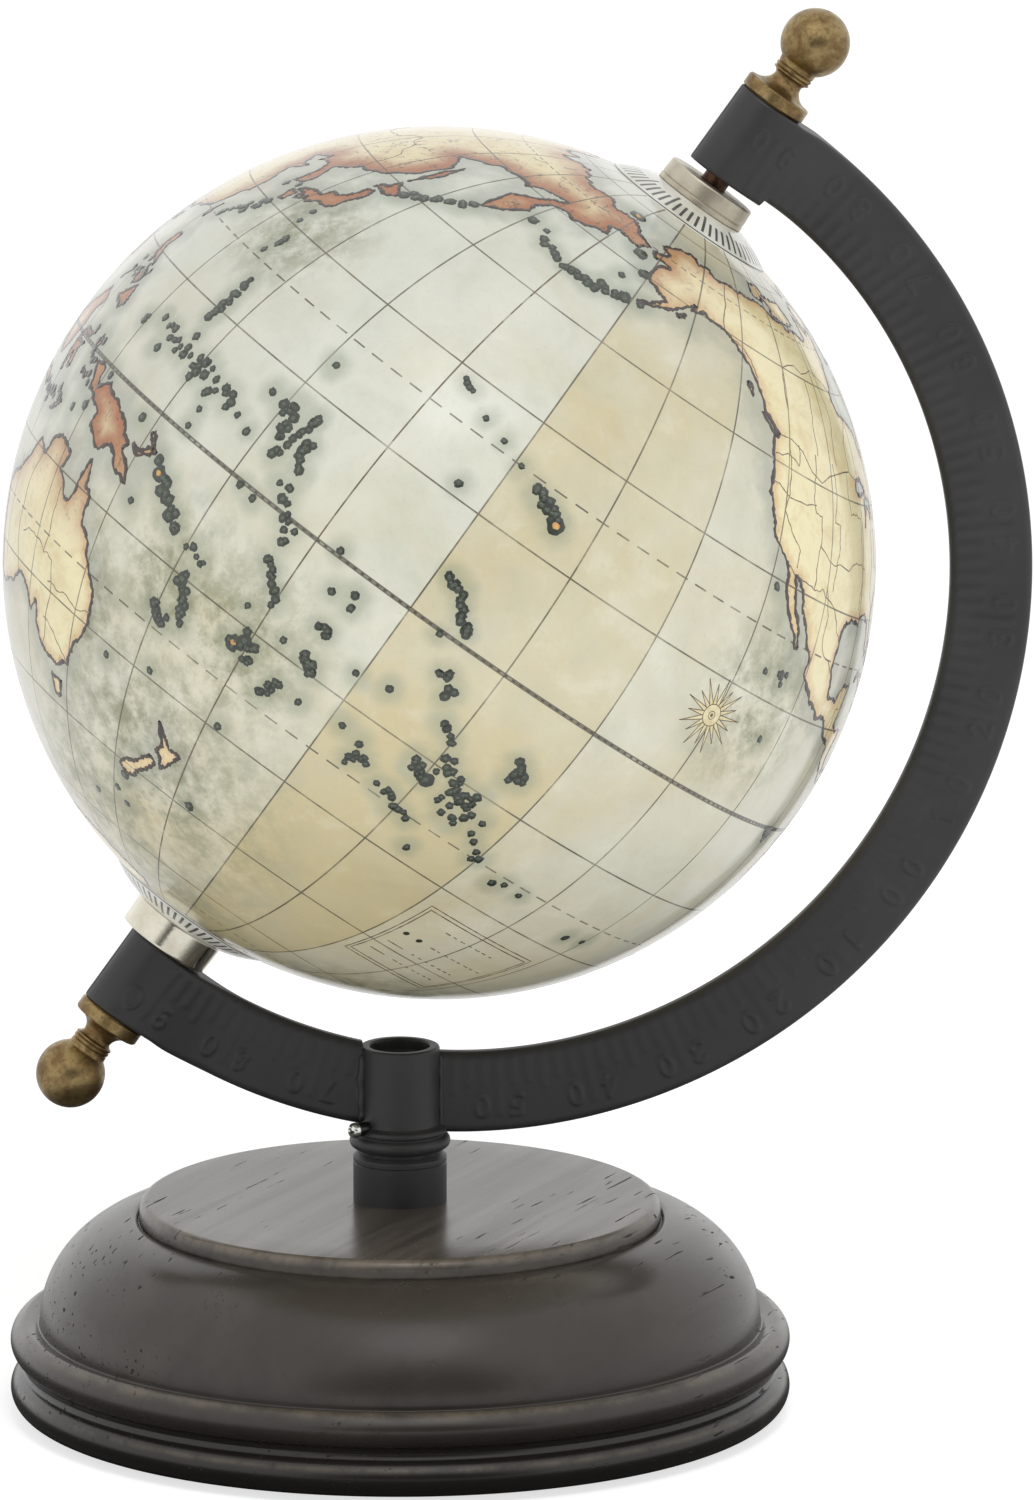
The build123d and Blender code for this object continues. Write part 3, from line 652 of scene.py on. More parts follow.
wood_outline = [(0, FELT_STAND, 0), (FELT_RECESS_R, FELT_STAND, 0), (FOOT_R, FELT_STAND, 0.5)]
wood_outline += arc_points((BEAD_OUTER_R - BEAD_R, LOWER_BEAD_Z), (BEAD_R, BEAD_R), -70, 72, 26)
wood_outline += [(BEAD_OUTER_R - BEAD_VALLEY, (LOWER_BEAD_Z + UPPER_BEAD_Z) / 2, 0.25)]
wood_outline += arc_points((BEAD_OUTER_R - BEAD_R, UPPER_BEAD_Z), (BEAD_R, BEAD_R), -72, 78, 26)
wood_outline += [(DOME_R + 0.1, DOME_Z - 0.4, 0.3)]
wood_outline += arc_points((DOME_R - DOME_CORNER[0], DOME_Z), DOME_CORNER, 1, DOME_STOP - 0.6, 40)
wood_outline += [(TOP_DISC_R + 0.05, WOOD_TOP - TOP_DISC_H - 0.1, 0.2)]
wood_outline += arc_points((TOP_DISC_R - TOP_EDGE[0], WOOD_TOP - TOP_EDGE[1]), TOP_EDGE, 0, 90, 12)
wood_outline += [(reach, WOOD_TOP, 0) for reach in TOP_RINGS]
base = lathe("wooden_base_turned", rounded(wood_outline), *UPRIGHT, WOOD, "base", 288)
# Edges painted lighter, as painted highlights where they catch the light and as the stained finish worn
# through: reach, height and spread
WORN_AND_HIGHLIT_EDGES = (
    (TOP_DISC_R - 0.4, WOOD_TOP - 0.4, 0.7),
    (TOP_DISC_R, WOOD_TOP - TOP_DISC_H + 0.7, 0.6),
    (BEAD_OUTER_R - 1.2, UPPER_BEAD_Z + 2.3, 0.8),
    (BEAD_OUTER_R - 0.5, LOWER_BEAD_Z + 1.5, 0.4),
)
base_points = np.array([vertex.co for vertex in base.data.vertices]) / MM
base_reach = np.hypot(base_points[:, 0], base_points[:, 1])
wear_and_highlight = np.zeros(len(base_points))
for edge_reach, edge_height, spread in WORN_AND_HIGHLIT_EDGES:
    gap = np.hypot(base_reach - edge_reach, base_points[:, 2] - edge_height)
    wear_and_highlight = np.maximum(wear_and_highlight, np.exp(-((gap / spread) ** 2)))
set_values(base, "wear_and_highlight", wear_and_highlight)
stands_for(base, "turned_wood", "wooden_base")

TUBE_R = 6.85
TUBE_BORE_R = 4.25
TUBE_FOOT = WOOD_TOP - 1.4
TUBE_GROOVE_Z = TUBE_TOP - 1.45
TUBE_GROOVE_W = 0.17
TUBE_CHAMFER = (0.7, 0.6)
tube_outline = [
    (TUBE_BORE_R, TUBE_FOOT, 0.1),
    (TUBE_R, TUBE_FOOT, 0.1),
    (TUBE_R, WOOD_TOP + 0.25, 0),
    (TUBE_R, TUBE_GROOVE_Z - TUBE_GROOVE_W, 0.04),
    (TUBE_R - TUBE_GROOVE_W, TUBE_GROOVE_Z, 0.05),
    (TUBE_R, TUBE_GROOVE_Z + TUBE_GROOVE_W, 0.04),
    (TUBE_R, TUBE_TOP - TUBE_CHAMFER[1], 0.35),
    (TUBE_R - TUBE_CHAMFER[0], TUBE_TOP, 0.2),
    (TUBE_BORE_R, TUBE_TOP, 0.1),
]
tube = lathe("pedestal_tube_turned", rounded(tube_outline, True), *UPRIGHT, PAINT, "base", 144, True)
stands_for(tube, "black_paint", "pedestal_tube")

# Finials and ferrules

FINIAL_BORE_R = 1.6
FINIAL_BORE_H = 5.9
FINIAL_FOOT_R = 5.15
FINIAL_FOOT_H = 1.95
FINIAL_CHAMFER = 0.4
FINIAL_COVE = (2.7, 2.15)
FINIAL_COVE_AT = (4.95, 4.35)
FINIAL_BALL_R = 5.05
FINIAL_BALL_AT = 10.95

finial_outline = [
    (FINIAL_BORE_R, 0, 0.05),
    (FINIAL_FOOT_R - FINIAL_CHAMFER, 0, 0.1),
    (FINIAL_FOOT_R, FINIAL_CHAMFER, 0.1),
    (FINIAL_FOOT_R, FINIAL_FOOT_H, 0.1),
]
finial_outline += arc_points(FINIAL_COVE_AT, FINIAL_COVE, -90, -180, 16)
# Fine rings of the neck: reach, height and corner radius
finial_outline += [
    (2.55, 4.75, 0.1),
    (2.95, 4.95, 0.1),
    (2.95, 5.2, 0.05),
    (2.7, 5.34, 0.05),
    (2.95, 5.48, 0.05),
    (2.95, 5.85, 0.05),
    (2.72, 5.98, 0.05),
    (2.9, 6.12, 0.05),
]
finial_outline += arc_points((0, FINIAL_BALL_AT), (FINIAL_BALL_R, FINIAL_BALL_R), -54, 90, 44)
for side, along in (("upper", UPPER_SEAT), ("lower", LOWER_SEAT)):
    direction = UP if side == "upper" else -UP
    outline = rounded(finial_outline)
    outline[-1, 0] = 0
    outline = np.vstack(((0, FINIAL_BORE_H), (FINIAL_BORE_R - 0.05, FINIAL_BORE_H), outline))
    seat = BALL + direction * along
    finial = lathe(f"{side}_finial_turned", outline, seat, direction, BRASS, "arm", 128)
    stands_for(finial, "brass", f"{side}_finial")


def ball_height(reach, radius=GLOBE_R):
    """Height of a ball's surface over its equator."""
    return math.sqrt(radius ** 2 - reach ** 2)


# The upper collar has a fine groove over its foot
COLLAR_FOOT = GLOBE_R + CALOTTE_RISE + 0.02
COLLAR_GROOVE = (
    (FERRULE_FOOT_R - 0.02, COLLAR_FOOT + 0.73, 0.08),
    (FERRULE_FOOT_R - 0.2, COLLAR_FOOT + 0.88, 0.06),
    (FERRULE_RIM_R + 0.12, COLLAR_FOOT + 1.03, 0.08),
)
for side, height, look, slot in (
    ("upper", UPPER_FERRULE_H, MATTE_NICKEL, "matte_nickel"),
    ("lower", LOWER_FERRULE_H, NICKEL, "nickel"),
):
    direction = UP if side == "upper" else -UP
    end = GLOBE_R + height
    sleeve = BUSH_R + 0.05
    outline = [
        (sleeve, COLLAR_FOOT, 0.1),
        (FERRULE_FOOT_R, COLLAR_FOOT, 0.2),
        *(COLLAR_GROOVE if side == "upper" else ()),
        (FERRULE_RIM_R, end, 0.4),
        (FERRULE_BORE_R, end, 0.25),
        (FERRULE_BORE_R, end - FERRULE_ROOF_T, 0.1),
        (sleeve, end - FERRULE_ROOF_T, 0.1),
    ]
    path = rounded(outline, True)
    collar = lathe(f"{side}_ferrule_turned", path, BALL, direction, look, "globe", 144, True)
    stands_for(collar, slot, f"{side}_ferrule")


# Map


def on_ball(lon, lat, radius):
    """Point of the ball, in millimetres, for a printed longitude and latitude."""
    turn = np.radians(np.asarray(lon, float) - MAP_LON)
    rise = np.radians(np.asarray(lat, float) - MAP_SHIFT)
    out = np.cos(rise)[..., None] * (np.cos(turn)[..., None] * ACROSS + np.sin(turn)[..., None] * BACK)
    return BALL + np.asarray(radius)[..., None] * (out + np.sin(rise)[..., None] * UP)


COASTS = {
    "north_america": """
        -77.5,8 -80,7.3 -82.5,8.2 -83.7,9 -85.8,10.2 -87.6,13 -91.5,14 -94.5,16.2 -97,15.8 -101.5,17.5
        -105.5,20.3 -105.5,22.5 -108.5,25.5 -111,28 -113,31.2 -114.7,31.7 -113.5,29 -111,25.8
        -109.5,23.2 -110.2,22.9 -112.2,25 -115,28 -116.2,30.5 -117.2,32.6 -120.5,34.5 -122.5,37.5
        -124.3,40.3 -124.1,44 -124.7,48.3 -123,49 -127.5,51 -130,54.5 -133,57 -136.5,58.5 -140,59.8
        -144,60.1 -148,60.9 -151.5,59.3 -150.5,61 -153.5,59 -156,57.3 -160,55.7 -164,54.6 -161,56
        -158,58 -161,58.7 -165,60.5 -164.5,63 -161,64.5 -166,64.6 -168,65.7 -164,66.5 -163,67.5
        -166.5,68.4 -162,70 -156.6,71.3 -148,70.4 -141,69.6 -134,69.6 -127,70 -118,69 -110,68 -101,67.8
        -95,68 -94,71.8 -89,69 -85.5,69.5 -82,68.5 -86,66.5 -87,64.5 -94,60 -94.7,58.7 -92.5,57 -88,56.5
        -82.3,55.1 -82,53 -80,51.3 -79,52 -78.8,54.5 -76.6,57 -78.2,59 -77.5,62.3 -73.5,62.3 -70,61
        -69.3,58.9 -66,58.8 -64.5,60.3 -61.5,56.5 -57,54 -56,52 -60,50.2 -66,50.2 -69.5,48 -65,49
        -64.8,46 -61,46 -64.5,44 -67,44.7 -70.5,43 -70,41.8 -74,40.5 -75.8,37 -76,34.8 -79,33.2 -81.3,31
        -80.1,26 -81.2,25.2 -82.7,28 -84,30 -89.5,30.2 -90,29.1 -94,29.6 -97.3,27.5 -97.7,22.5
        -95.5,18.8 -92,18.6 -90.4,21 -87,21.5 -88,18 -88.5,15.8 -83.3,15 -83.7,11 -81.5,8.9 -79.5,9.5
    """,
    "south_america": """
        -77.5,8 -75.5,10.6 -71.7,12.3 -71.5,11 -68,11.5 -62,10.7 -60,8.5 -54,5.8 -51,4 -50,0.5 -48,-1
        -44,-2.6 -40,-2.9 -35.3,-5.3 -35,-8.5 -38.5,-13 -39,-17.5 -41,-22 -45,-23.5 -48.5,-26 -49,-28.7
        -53,-33.5 -57,-34.8 -57,-36.5 -62,-39 -65,-41 -63.7,-42.7 -67,-46 -65.8,-47.5 -69,-50.5
        -68.3,-52.5 -65.2,-54.7 -69,-55.3 -73,-53 -75.5,-49 -74,-44.5 -73.5,-40 -73.3,-37 -71.5,-32.5
        -70.3,-25 -70.2,-19 -75.5,-15 -77.5,-11.5 -81.1,-6 -80,-3.2 -80.8,-1.5 -79.5,1 -77.5,3.8
    """,
    "greenland": """
        -73,78 -68,76.1 -58.5,75.4 -54.5,71 -51,69 -53.7,66.8 -51,62.5 -44,59.9 -42,62.5 -37,65.8 -25,69
        -21.5,72 -19.5,76 -20,82 -60,82
    """,
    "eurasia": """
        -9,38.7 -9,43 -1.5,43.4 -1.2,46 -4.5,48.3 1.6,50.8 4.7,53 8.5,54 8.2,57 10.5,57.5 10.8,54.3
        14,54 19,54.5 21.2,57.5 23.5,59.2 28,59.5 30,60 25,60.2 21.5,61 22,63.5 25,65 22,65.7 17.5,62
        17,60.6 18.5,59.5 16.5,57 14.3,55.5 12.8,55.6 11,59 7,58 5.2,60 6,62.5 10.5,64.3 14.5,68 20,70
        26,71.1 31,70.3 41,67.5 40,66.3 33.5,66.5 37.5,64.3 44,66 43.5,68.5 54,68.5 60.5,69.7 68,68.5
        67,72 72.5,72.8 72.8,69 74,72 80.5,73.5 87,75 98,76.3 104.3,77.7 113,75.7 113,73.8 127,73.5
        129.5,71 140,72.6 150,71.5 160,69.7 170,69.5 178,69.3 187,66.8 190.2,66.1 187.5,64.3 180.5,65.2
        177.5,64.6 179,62.4 170.5,60 163.5,59.7 162.2,57.8 163,56 160,53 156.7,51 155.8,56.5 161.5,60.5
        164.5,62.5 156.5,61.5 154.5,59.5 143,59.3 135.5,54.8 141,53 140.5,48.5 135.5,44 131.5,43
        127.6,39.8 129.4,36.5 128.8,35 126.4,34.4 126.8,37.3 124.8,39.6 121.5,39 121.7,40.8 118,39
        119.5,37.3 122.5,37.3 119.3,35 121.8,31.8 121.8,29 119.5,25.5 115,22.6 110.5,21.2 108.3,21.7
        105.8,19 107,16.8 109.3,13 108.8,11.3 105,8.7 104.8,10.3 102.5,12 100.6,13.5 99.3,10 100.4,7.3
        103.3,4.2 104.2,1.4 101.3,2.9 100.3,6 98.3,8 98.6,12 97.5,16.5 94.3,16 94.2,19 91.8,22.5
        88.5,21.7 86.8,20.3 82.3,16.6 80.2,15.5 80.2,13 79.8,10.3 77.5,8.1 76.2,10.5 74.5,14.5 72.8,19
        72.7,21.3 70.3,20.9 69,22.3 67,24.8 61.5,25.1 57.3,25.7 56.8,27 51.5,27.9 48.5,30 50.2,26.5
        51.5,24.5 54,24.2 56.4,26.2 56.8,24.3 59.8,22.5 57.8,19 55.2,17.5 52.2,15.6 45,12.8 43.3,12.7
        42.5,16.5 39,21.3 37,25 34.9,29.4 33,30 34.3,31.3 35.8,35.5 36.1,36.8 31,36.5 27.5,36.8
        26.3,39.3 29,41 35,42 38.5,41 41.5,41.5 37.5,44.7 39,47.2 35,46.2 33.5,44.5 31,46.5 28.5,43.8
        28,41.8 26,40.8 23,40.4 24,38 22.8,36.6 21,38.5 19.5,41.8 14,45.1 12.3,45.3 13.7,43.3 16,41.9
        18.4,40 16.9,40.5 16.5,38.5 15.7,38 15.6,40 12.2,41.8 10.3,43.7 8.5,44.3 4,43.5 3.1,42 -0.3,39.3
        -2,36.8 -5.6,36 -9,37
    """,
    "africa": """
        32.6,30 33.8,27.6 35.5,24 37.3,20.8 39.5,15.3 43.2,11.7 51.2,11.8 48,4.5 42,-1.2 39.2,-6
        40.6,-11 40.5,-15 35,-20 35.5,-24 32.7,-26.5 30,-31.5 25.7,-34 20,-34.8 18.2,-32.5 15,-26.5
        12,-18 13.7,-12 12.2,-6 8.8,-1 9.7,3.8 6,4.3 2,6.3 -4,5.2 -7.5,4.4 -12.8,7.8 -16.7,12.5
        -17.5,14.7 -16.2,19 -17,21 -14.5,26 -9.8,29.8 -9.7,31.5 -6,35.8 -2,35.1 3,36.8 10,37.3 11,33.7
        15.3,32.3 20,30.8 20.5,32.7 25,31.6 29,30.9 32.3,31.2
    """,
    "australia": """
        113.7,-22.6 114.2,-26.3 115.7,-32 115,-34.2 118,-35 123.5,-33.9 129,-31.6 131.2,-31.5
        134.2,-32.8 135.8,-34.8 137.8,-32.8 138.2,-35.5 140.6,-38 143.5,-38.8 146.4,-39 149.9,-37.5
        150.8,-34.3 153,-31 153.5,-28.2 152.8,-25 150.8,-23.3 148.7,-20.3 146,-18.8 145.4,-15
        143.6,-14.3 142.5,-10.8 141.6,-13.5 140.9,-17.5 139.3,-17.5 135.6,-15 136.9,-12.2 132.6,-11.5
        130.2,-12.8 129.3,-15 126,-14 123.5,-17.2 122.2,-18 119,-20 116,-20.8
    """,
    "antarctica": """
        -180,-77.6 -165,-77.4 -158,-77 -148,-76.5 -137,-75 -125,-73.8 -115,-74.2 -103,-74 -100,-72.5
        -90,-72.8 -80,-73.2 -75,-71.5 -68,-69 -66,-66 -60,-63.8 -57,-63.3 -60,-65.5 -62,-69 -61.5,-73.5
        -60,-75 -50,-77.5 -35,-77.8 -26,-75.5 -16,-72.5 -8,-71 5,-70 15,-69.6 25,-70.3 33,-68.7 40,-69.2
        50,-66.8 56,-66.3 62,-67.5 70,-68.5 75,-69.6 82,-67.5 90,-66.7 100,-65.5 110,-66.2 120,-66.8
        130,-66.3 140,-66.7 148,-67.8 155,-69 163,-70.5 170,-71.5 169,-74 165,-77 168,-77.6 180,-77.6
        180,-88 -180,-88
    """,
    "honshu": """
        130.9,34 132.5,34.2 135.5,33.5 137,34.6 138.8,34.7 140.8,35.7 141.1,38 142,39.6 141.4,41.4
        140.2,41 140,39.5 138.5,37.3 136.8,37.4 136,35.7 133,35.5 131,34.5
    """,
    "kyushu": "130,33.5 131.7,33.5 131.4,31.4 130.3,31.2 129.8,32.7",
    "shikoku": "132.5,33.9 134.6,34.2 134.2,33.4 132.8,32.8",
    "hokkaido": "140,42 141,42.5 143.2,42 145.4,43.3 143.8,44.1 141.7,45.4 141.6,43.3 140.4,43.2",
    "sakhalin": "142,46 143.5,49 143.2,52.5 142.6,54.2 142,52 142.2,49",
    "taiwan": "120.2,23 121.5,25.2 120.9,22",
    "luzon": "120.3,16 120.7,18.4 122.2,18.3 121.6,15.9 124,12.7 122,13.8 120.6,14",
    "mindanao": "122,7 124,8.5 125.6,9.7 126.4,7.5 125.4,5.7 124,6.5",
    "visayas": "122,11.8 123,11.4 124.8,11.3 125.4,12.4 124.5,10.2 123,9.3 122.3,10",
    "palawan": "117.2,8.4 119.3,10.6 119.2,11.2 117.5,9.2",
    "borneo": """
        109,1.5 111.5,2.5 114,4.5 116.8,7 119,5.2 117.7,3.5 117.8,0.8 116.5,-1.8 114.6,-4 111.5,-3.3
        110,-1.2
    """,
    "sumatra": "95.3,5.6 97.5,5.2 100.5,2.2 103.5,0 106,-3 105.8,-5.8 104,-5.2 101,-2.2 98.7,1.7",
    "java": "105.3,-6.8 108.5,-6.7 112,-6.7 114.4,-7.8 114.3,-8.7 110,-8.1 106.5,-7.4",
    "sulawesi": """
        119.5,-5.4 119,-3 119.9,0.5 121,1.1 125,1.5 123.5,0.4 120.5,0.4 120.2,-1 121.5,-0.9 123.3,-0.7
        121.9,-1.9 122.9,-4.2 121.6,-4.6 121,-2.7 120.4,-3.3 120.3,-5.5
    """,
    "new_guinea": """
        131,-0.8 134,-0.8 134.9,-3.3 137.5,-1.6 141,-2.6 144.5,-3.9 147.8,-6.1 147,-6.9 150.8,-10.4
        147.5,-9.8 144.5,-7.7 142.6,-9.3 139.2,-8.1 138,-7.3 138.3,-5.7 135,-4.4 133,-4 132.7,-2.8
        131.5,-1.5
    """,
    "new_britain": "148.3,-5.6 150.5,-5.5 152.2,-4.2 152.2,-5.2 150.3,-6.3",
    "new_ireland": "150.7,-2.4 153.1,-4.4 152.5,-4.8 150.4,-3",
    "halmahera": "127.3,0.8 127.9,2.1 128.6,1 127.9,-0.7",
    "seram": "128,-2.9 130.8,-3.1 130,-3.7 128.2,-3.6",
    "timor": "123.5,-10.3 126,-8.6 127.2,-8.3 125,-9.8",
    "flores": "119.9,-8.3 122.8,-8.1 122,-9 120,-8.9",
    "tasmania": "144.7,-40.8 148.2,-40.9 148,-43 146.2,-43.5 145.3,-42.3",
    "north_island": """
        172.8,-34.5 174.6,-36.3 176,-37.6 178.4,-37.7 177.2,-39.5 175.4,-41.5 174.9,-39.9 173.8,-39.2
        174.7,-38
    """,
    "south_island": """
        172.8,-40.6 174.2,-41.4 172.8,-43.6 171.2,-44.5 170.5,-46 168.5,-46.6 166.5,-45.8 168.5,-44
        171.2,-42.3
    """,
    "hainan": "108.7,19.3 110.7,20 110.2,18.5 109,18.4",
    "ceylon": "79.9,8.5 80.3,9.7 81.7,7.5 80.5,6",
    "madagascar": "44,-20 44.4,-16.3 47,-15.4 49.3,-12 50.4,-15.7 48,-22 47,-25 45,-25.4 43.6,-22.5",
    "great_britain": """
        -5.5,50.2 -3,50.8 1.3,51.2 0.3,53 -1.6,55.2 -3,56 -1.9,57.6 -4,57.8 -3.2,58.6 -5,58.5 -5.8,56.5
        -4.8,54.7 -3,53.8 -4.5,53 -5,51.8 -3.2,51.3
    """,
    "ireland": "-6.2,52.2 -9.5,51.6 -10,54.2 -8,55.2 -5.7,54.6",
    "iceland": "-22.5,64 -18.5,63.4 -14,64.8 -16,66.4 -20.5,65.8 -24,65.8",
    "cuba": "-84.8,21.9 -82.5,23.1 -79.5,22.8 -75,20.7 -77.5,19.9 -78.5,21.5 -82,22.5",
    "hispaniola": "-74.3,18.4 -73,19.9 -69.8,19.8 -68.5,18.5 -71,17.9",
    "newfoundland": "-59.2,47.8 -55.5,51.4 -53,47 -55.5,47",
    "vancouver": "-128.2,50.7 -125.2,50 -123.5,48.4 -125,48.7",
    "charlotte": "-133,54 -131.8,54 -131.2,52.2",
    "kodiak": "-154.5,57.3 -152.3,58.2 -152.8,57.3 -154,56.7",
    "baffin": """
        -80,73.7 -76,72.8 -68,70.3 -62,67 -64.5,65.2 -68,62.7 -66,62 -71.5,64 -78,64.5 -73,67.8
        -72.5,69.5 -79,70 -88,70.6 -89,73
    """,
    "victoria": "-117,69.2 -107,68.8 -101.5,69.5 -105,72.8 -111,72.7 -118,72.5 -115,70.5",
    "banks": "-125.5,72 -123,71.2 -116.5,73.3 -121,74.4 -124.5,74",
    "ellesmere": "-90,76.4 -80,76.2 -76,78.5 -90,82 -96,80",
    "novaya": "51.7,71.2 55.5,70.7 58,73.5 68,76.5 61,76.2 54,73.5",
    "sicily": "12.5,38 15.5,38.2 15.1,36.7",
    "sardinia": "8.2,41 9.6,41 9.6,39.2 8.4,39",
    "caspian": "47,45.5 51,46.8 53,45 51,44.5 53.5,41 53.9,37.2 50.2,37.3 49,40.5 47.5,43",
    "superior": "-92,46.7 -88,48.8 -84.7,46.9 -87.5,46.5",
    "huron": "-87.8,42 -86.3,45.6 -83.5,46 -80.2,45 -82,43.2 -84,45 -86.3,44",
}

BORDERS = (
    "-123,49 -95,49 -89,48 -83,46 -79,43 -75,45 -71,45 -67.5,47",
    "-117,32.5 -111,31.4 -106.5,31.8 -101,29.5 -97.2,25.9",
    "-141,69.6 -141,60.3 -135,59 -130,55.5",
    "-120,49 -120,39 -114.6,35 -114.6,32.6",
    "-111,49 -111,41 -109,41 -109,31.3",
    "-104,49 -104,41 -102,41 -102,37 -103,32",
    "-124,42 -111,42",
    "-124,46 -117,46 -117,49",
    "-109,37 -94,37 -89,36.5",
    "-97,49 -96.5,43 -91,43 -90,35 -91,31",
    "-120,53.5 -120,60 -95,60",
    "-110,49 -110,60",
    "-102,49 -102,60 -102,67",
    "-95,49 -95,53 -89,57",
    "-79.5,47 -79.5,51.5",
    "-83,42 -84,35 -81,31",
    "-80,42 -80,37 -76,36",
    "-92.2,14.5 -90.5,17.8 -89,17.8",
    "-105,32 -103,25 -98,22",
    "129,-14.9 129,-31.6",
    "138,-16.8 138,-26 129,-26",
    "138,-26 141,-26 141,-38",
    "141,-29 149,-29 153.4,-28.3",
    "141,-34 147,-36 149.8,-37.4",
    "87,49 98,52 107,49.5 116,49.8 120,53 130,48.5 131,43",
    "80,42 87,49 70,54 55,51 50,50",
    "53,41 62,41 74,39.5 80,42",
    "74,39.5 79,32 88,28 97,28 98,24 102,22 108,21.5",
    "62,25.2 62,30 71,33 75,36.5",
    "69,24 71,28 75,32 75,36.5",
    "45,29 48,38 44,40",
    "48,30 39,32 36,33",
    "102,22 101,17 105,14 104,10.5",
    "28,59.5 28,55 24,52 30,46.5",
    "15,54 15,51 19,49 22,48 29,45.5",
    "8,49 6,46 7,44",
    "-1.8,43.4 3,42.5",
    "25,31.5 25,22 37,22",
    "10,36 9,30 12,24 15,23 24,20",
    "-9,28 -5,25 4,19 12,24",
    "24,20 24,10 34,4 41,4",
    "14,13 15,8 10,5",
    "30,4 30,-8 33,-9 40,-11",
    "12,-6 22,-7 24,-12 22,-18 12,-17",
    "20,-28 20,-22 25,-22 32,-22",
    "-70,-55 -70,-50 -71.5,-40 -70,-30 -68,-22 -69,-18",
    "-58,-34 -57,-30 -54,-25 -58,-20 -60,-14 -65,-11 -70,-10 -73,-5 -70,1 -67,2 -60,5",
    "-79,1 -75,-2 -80,-4.5",
    "-72,11.5 -72,7 -67,6 -67,2",
)

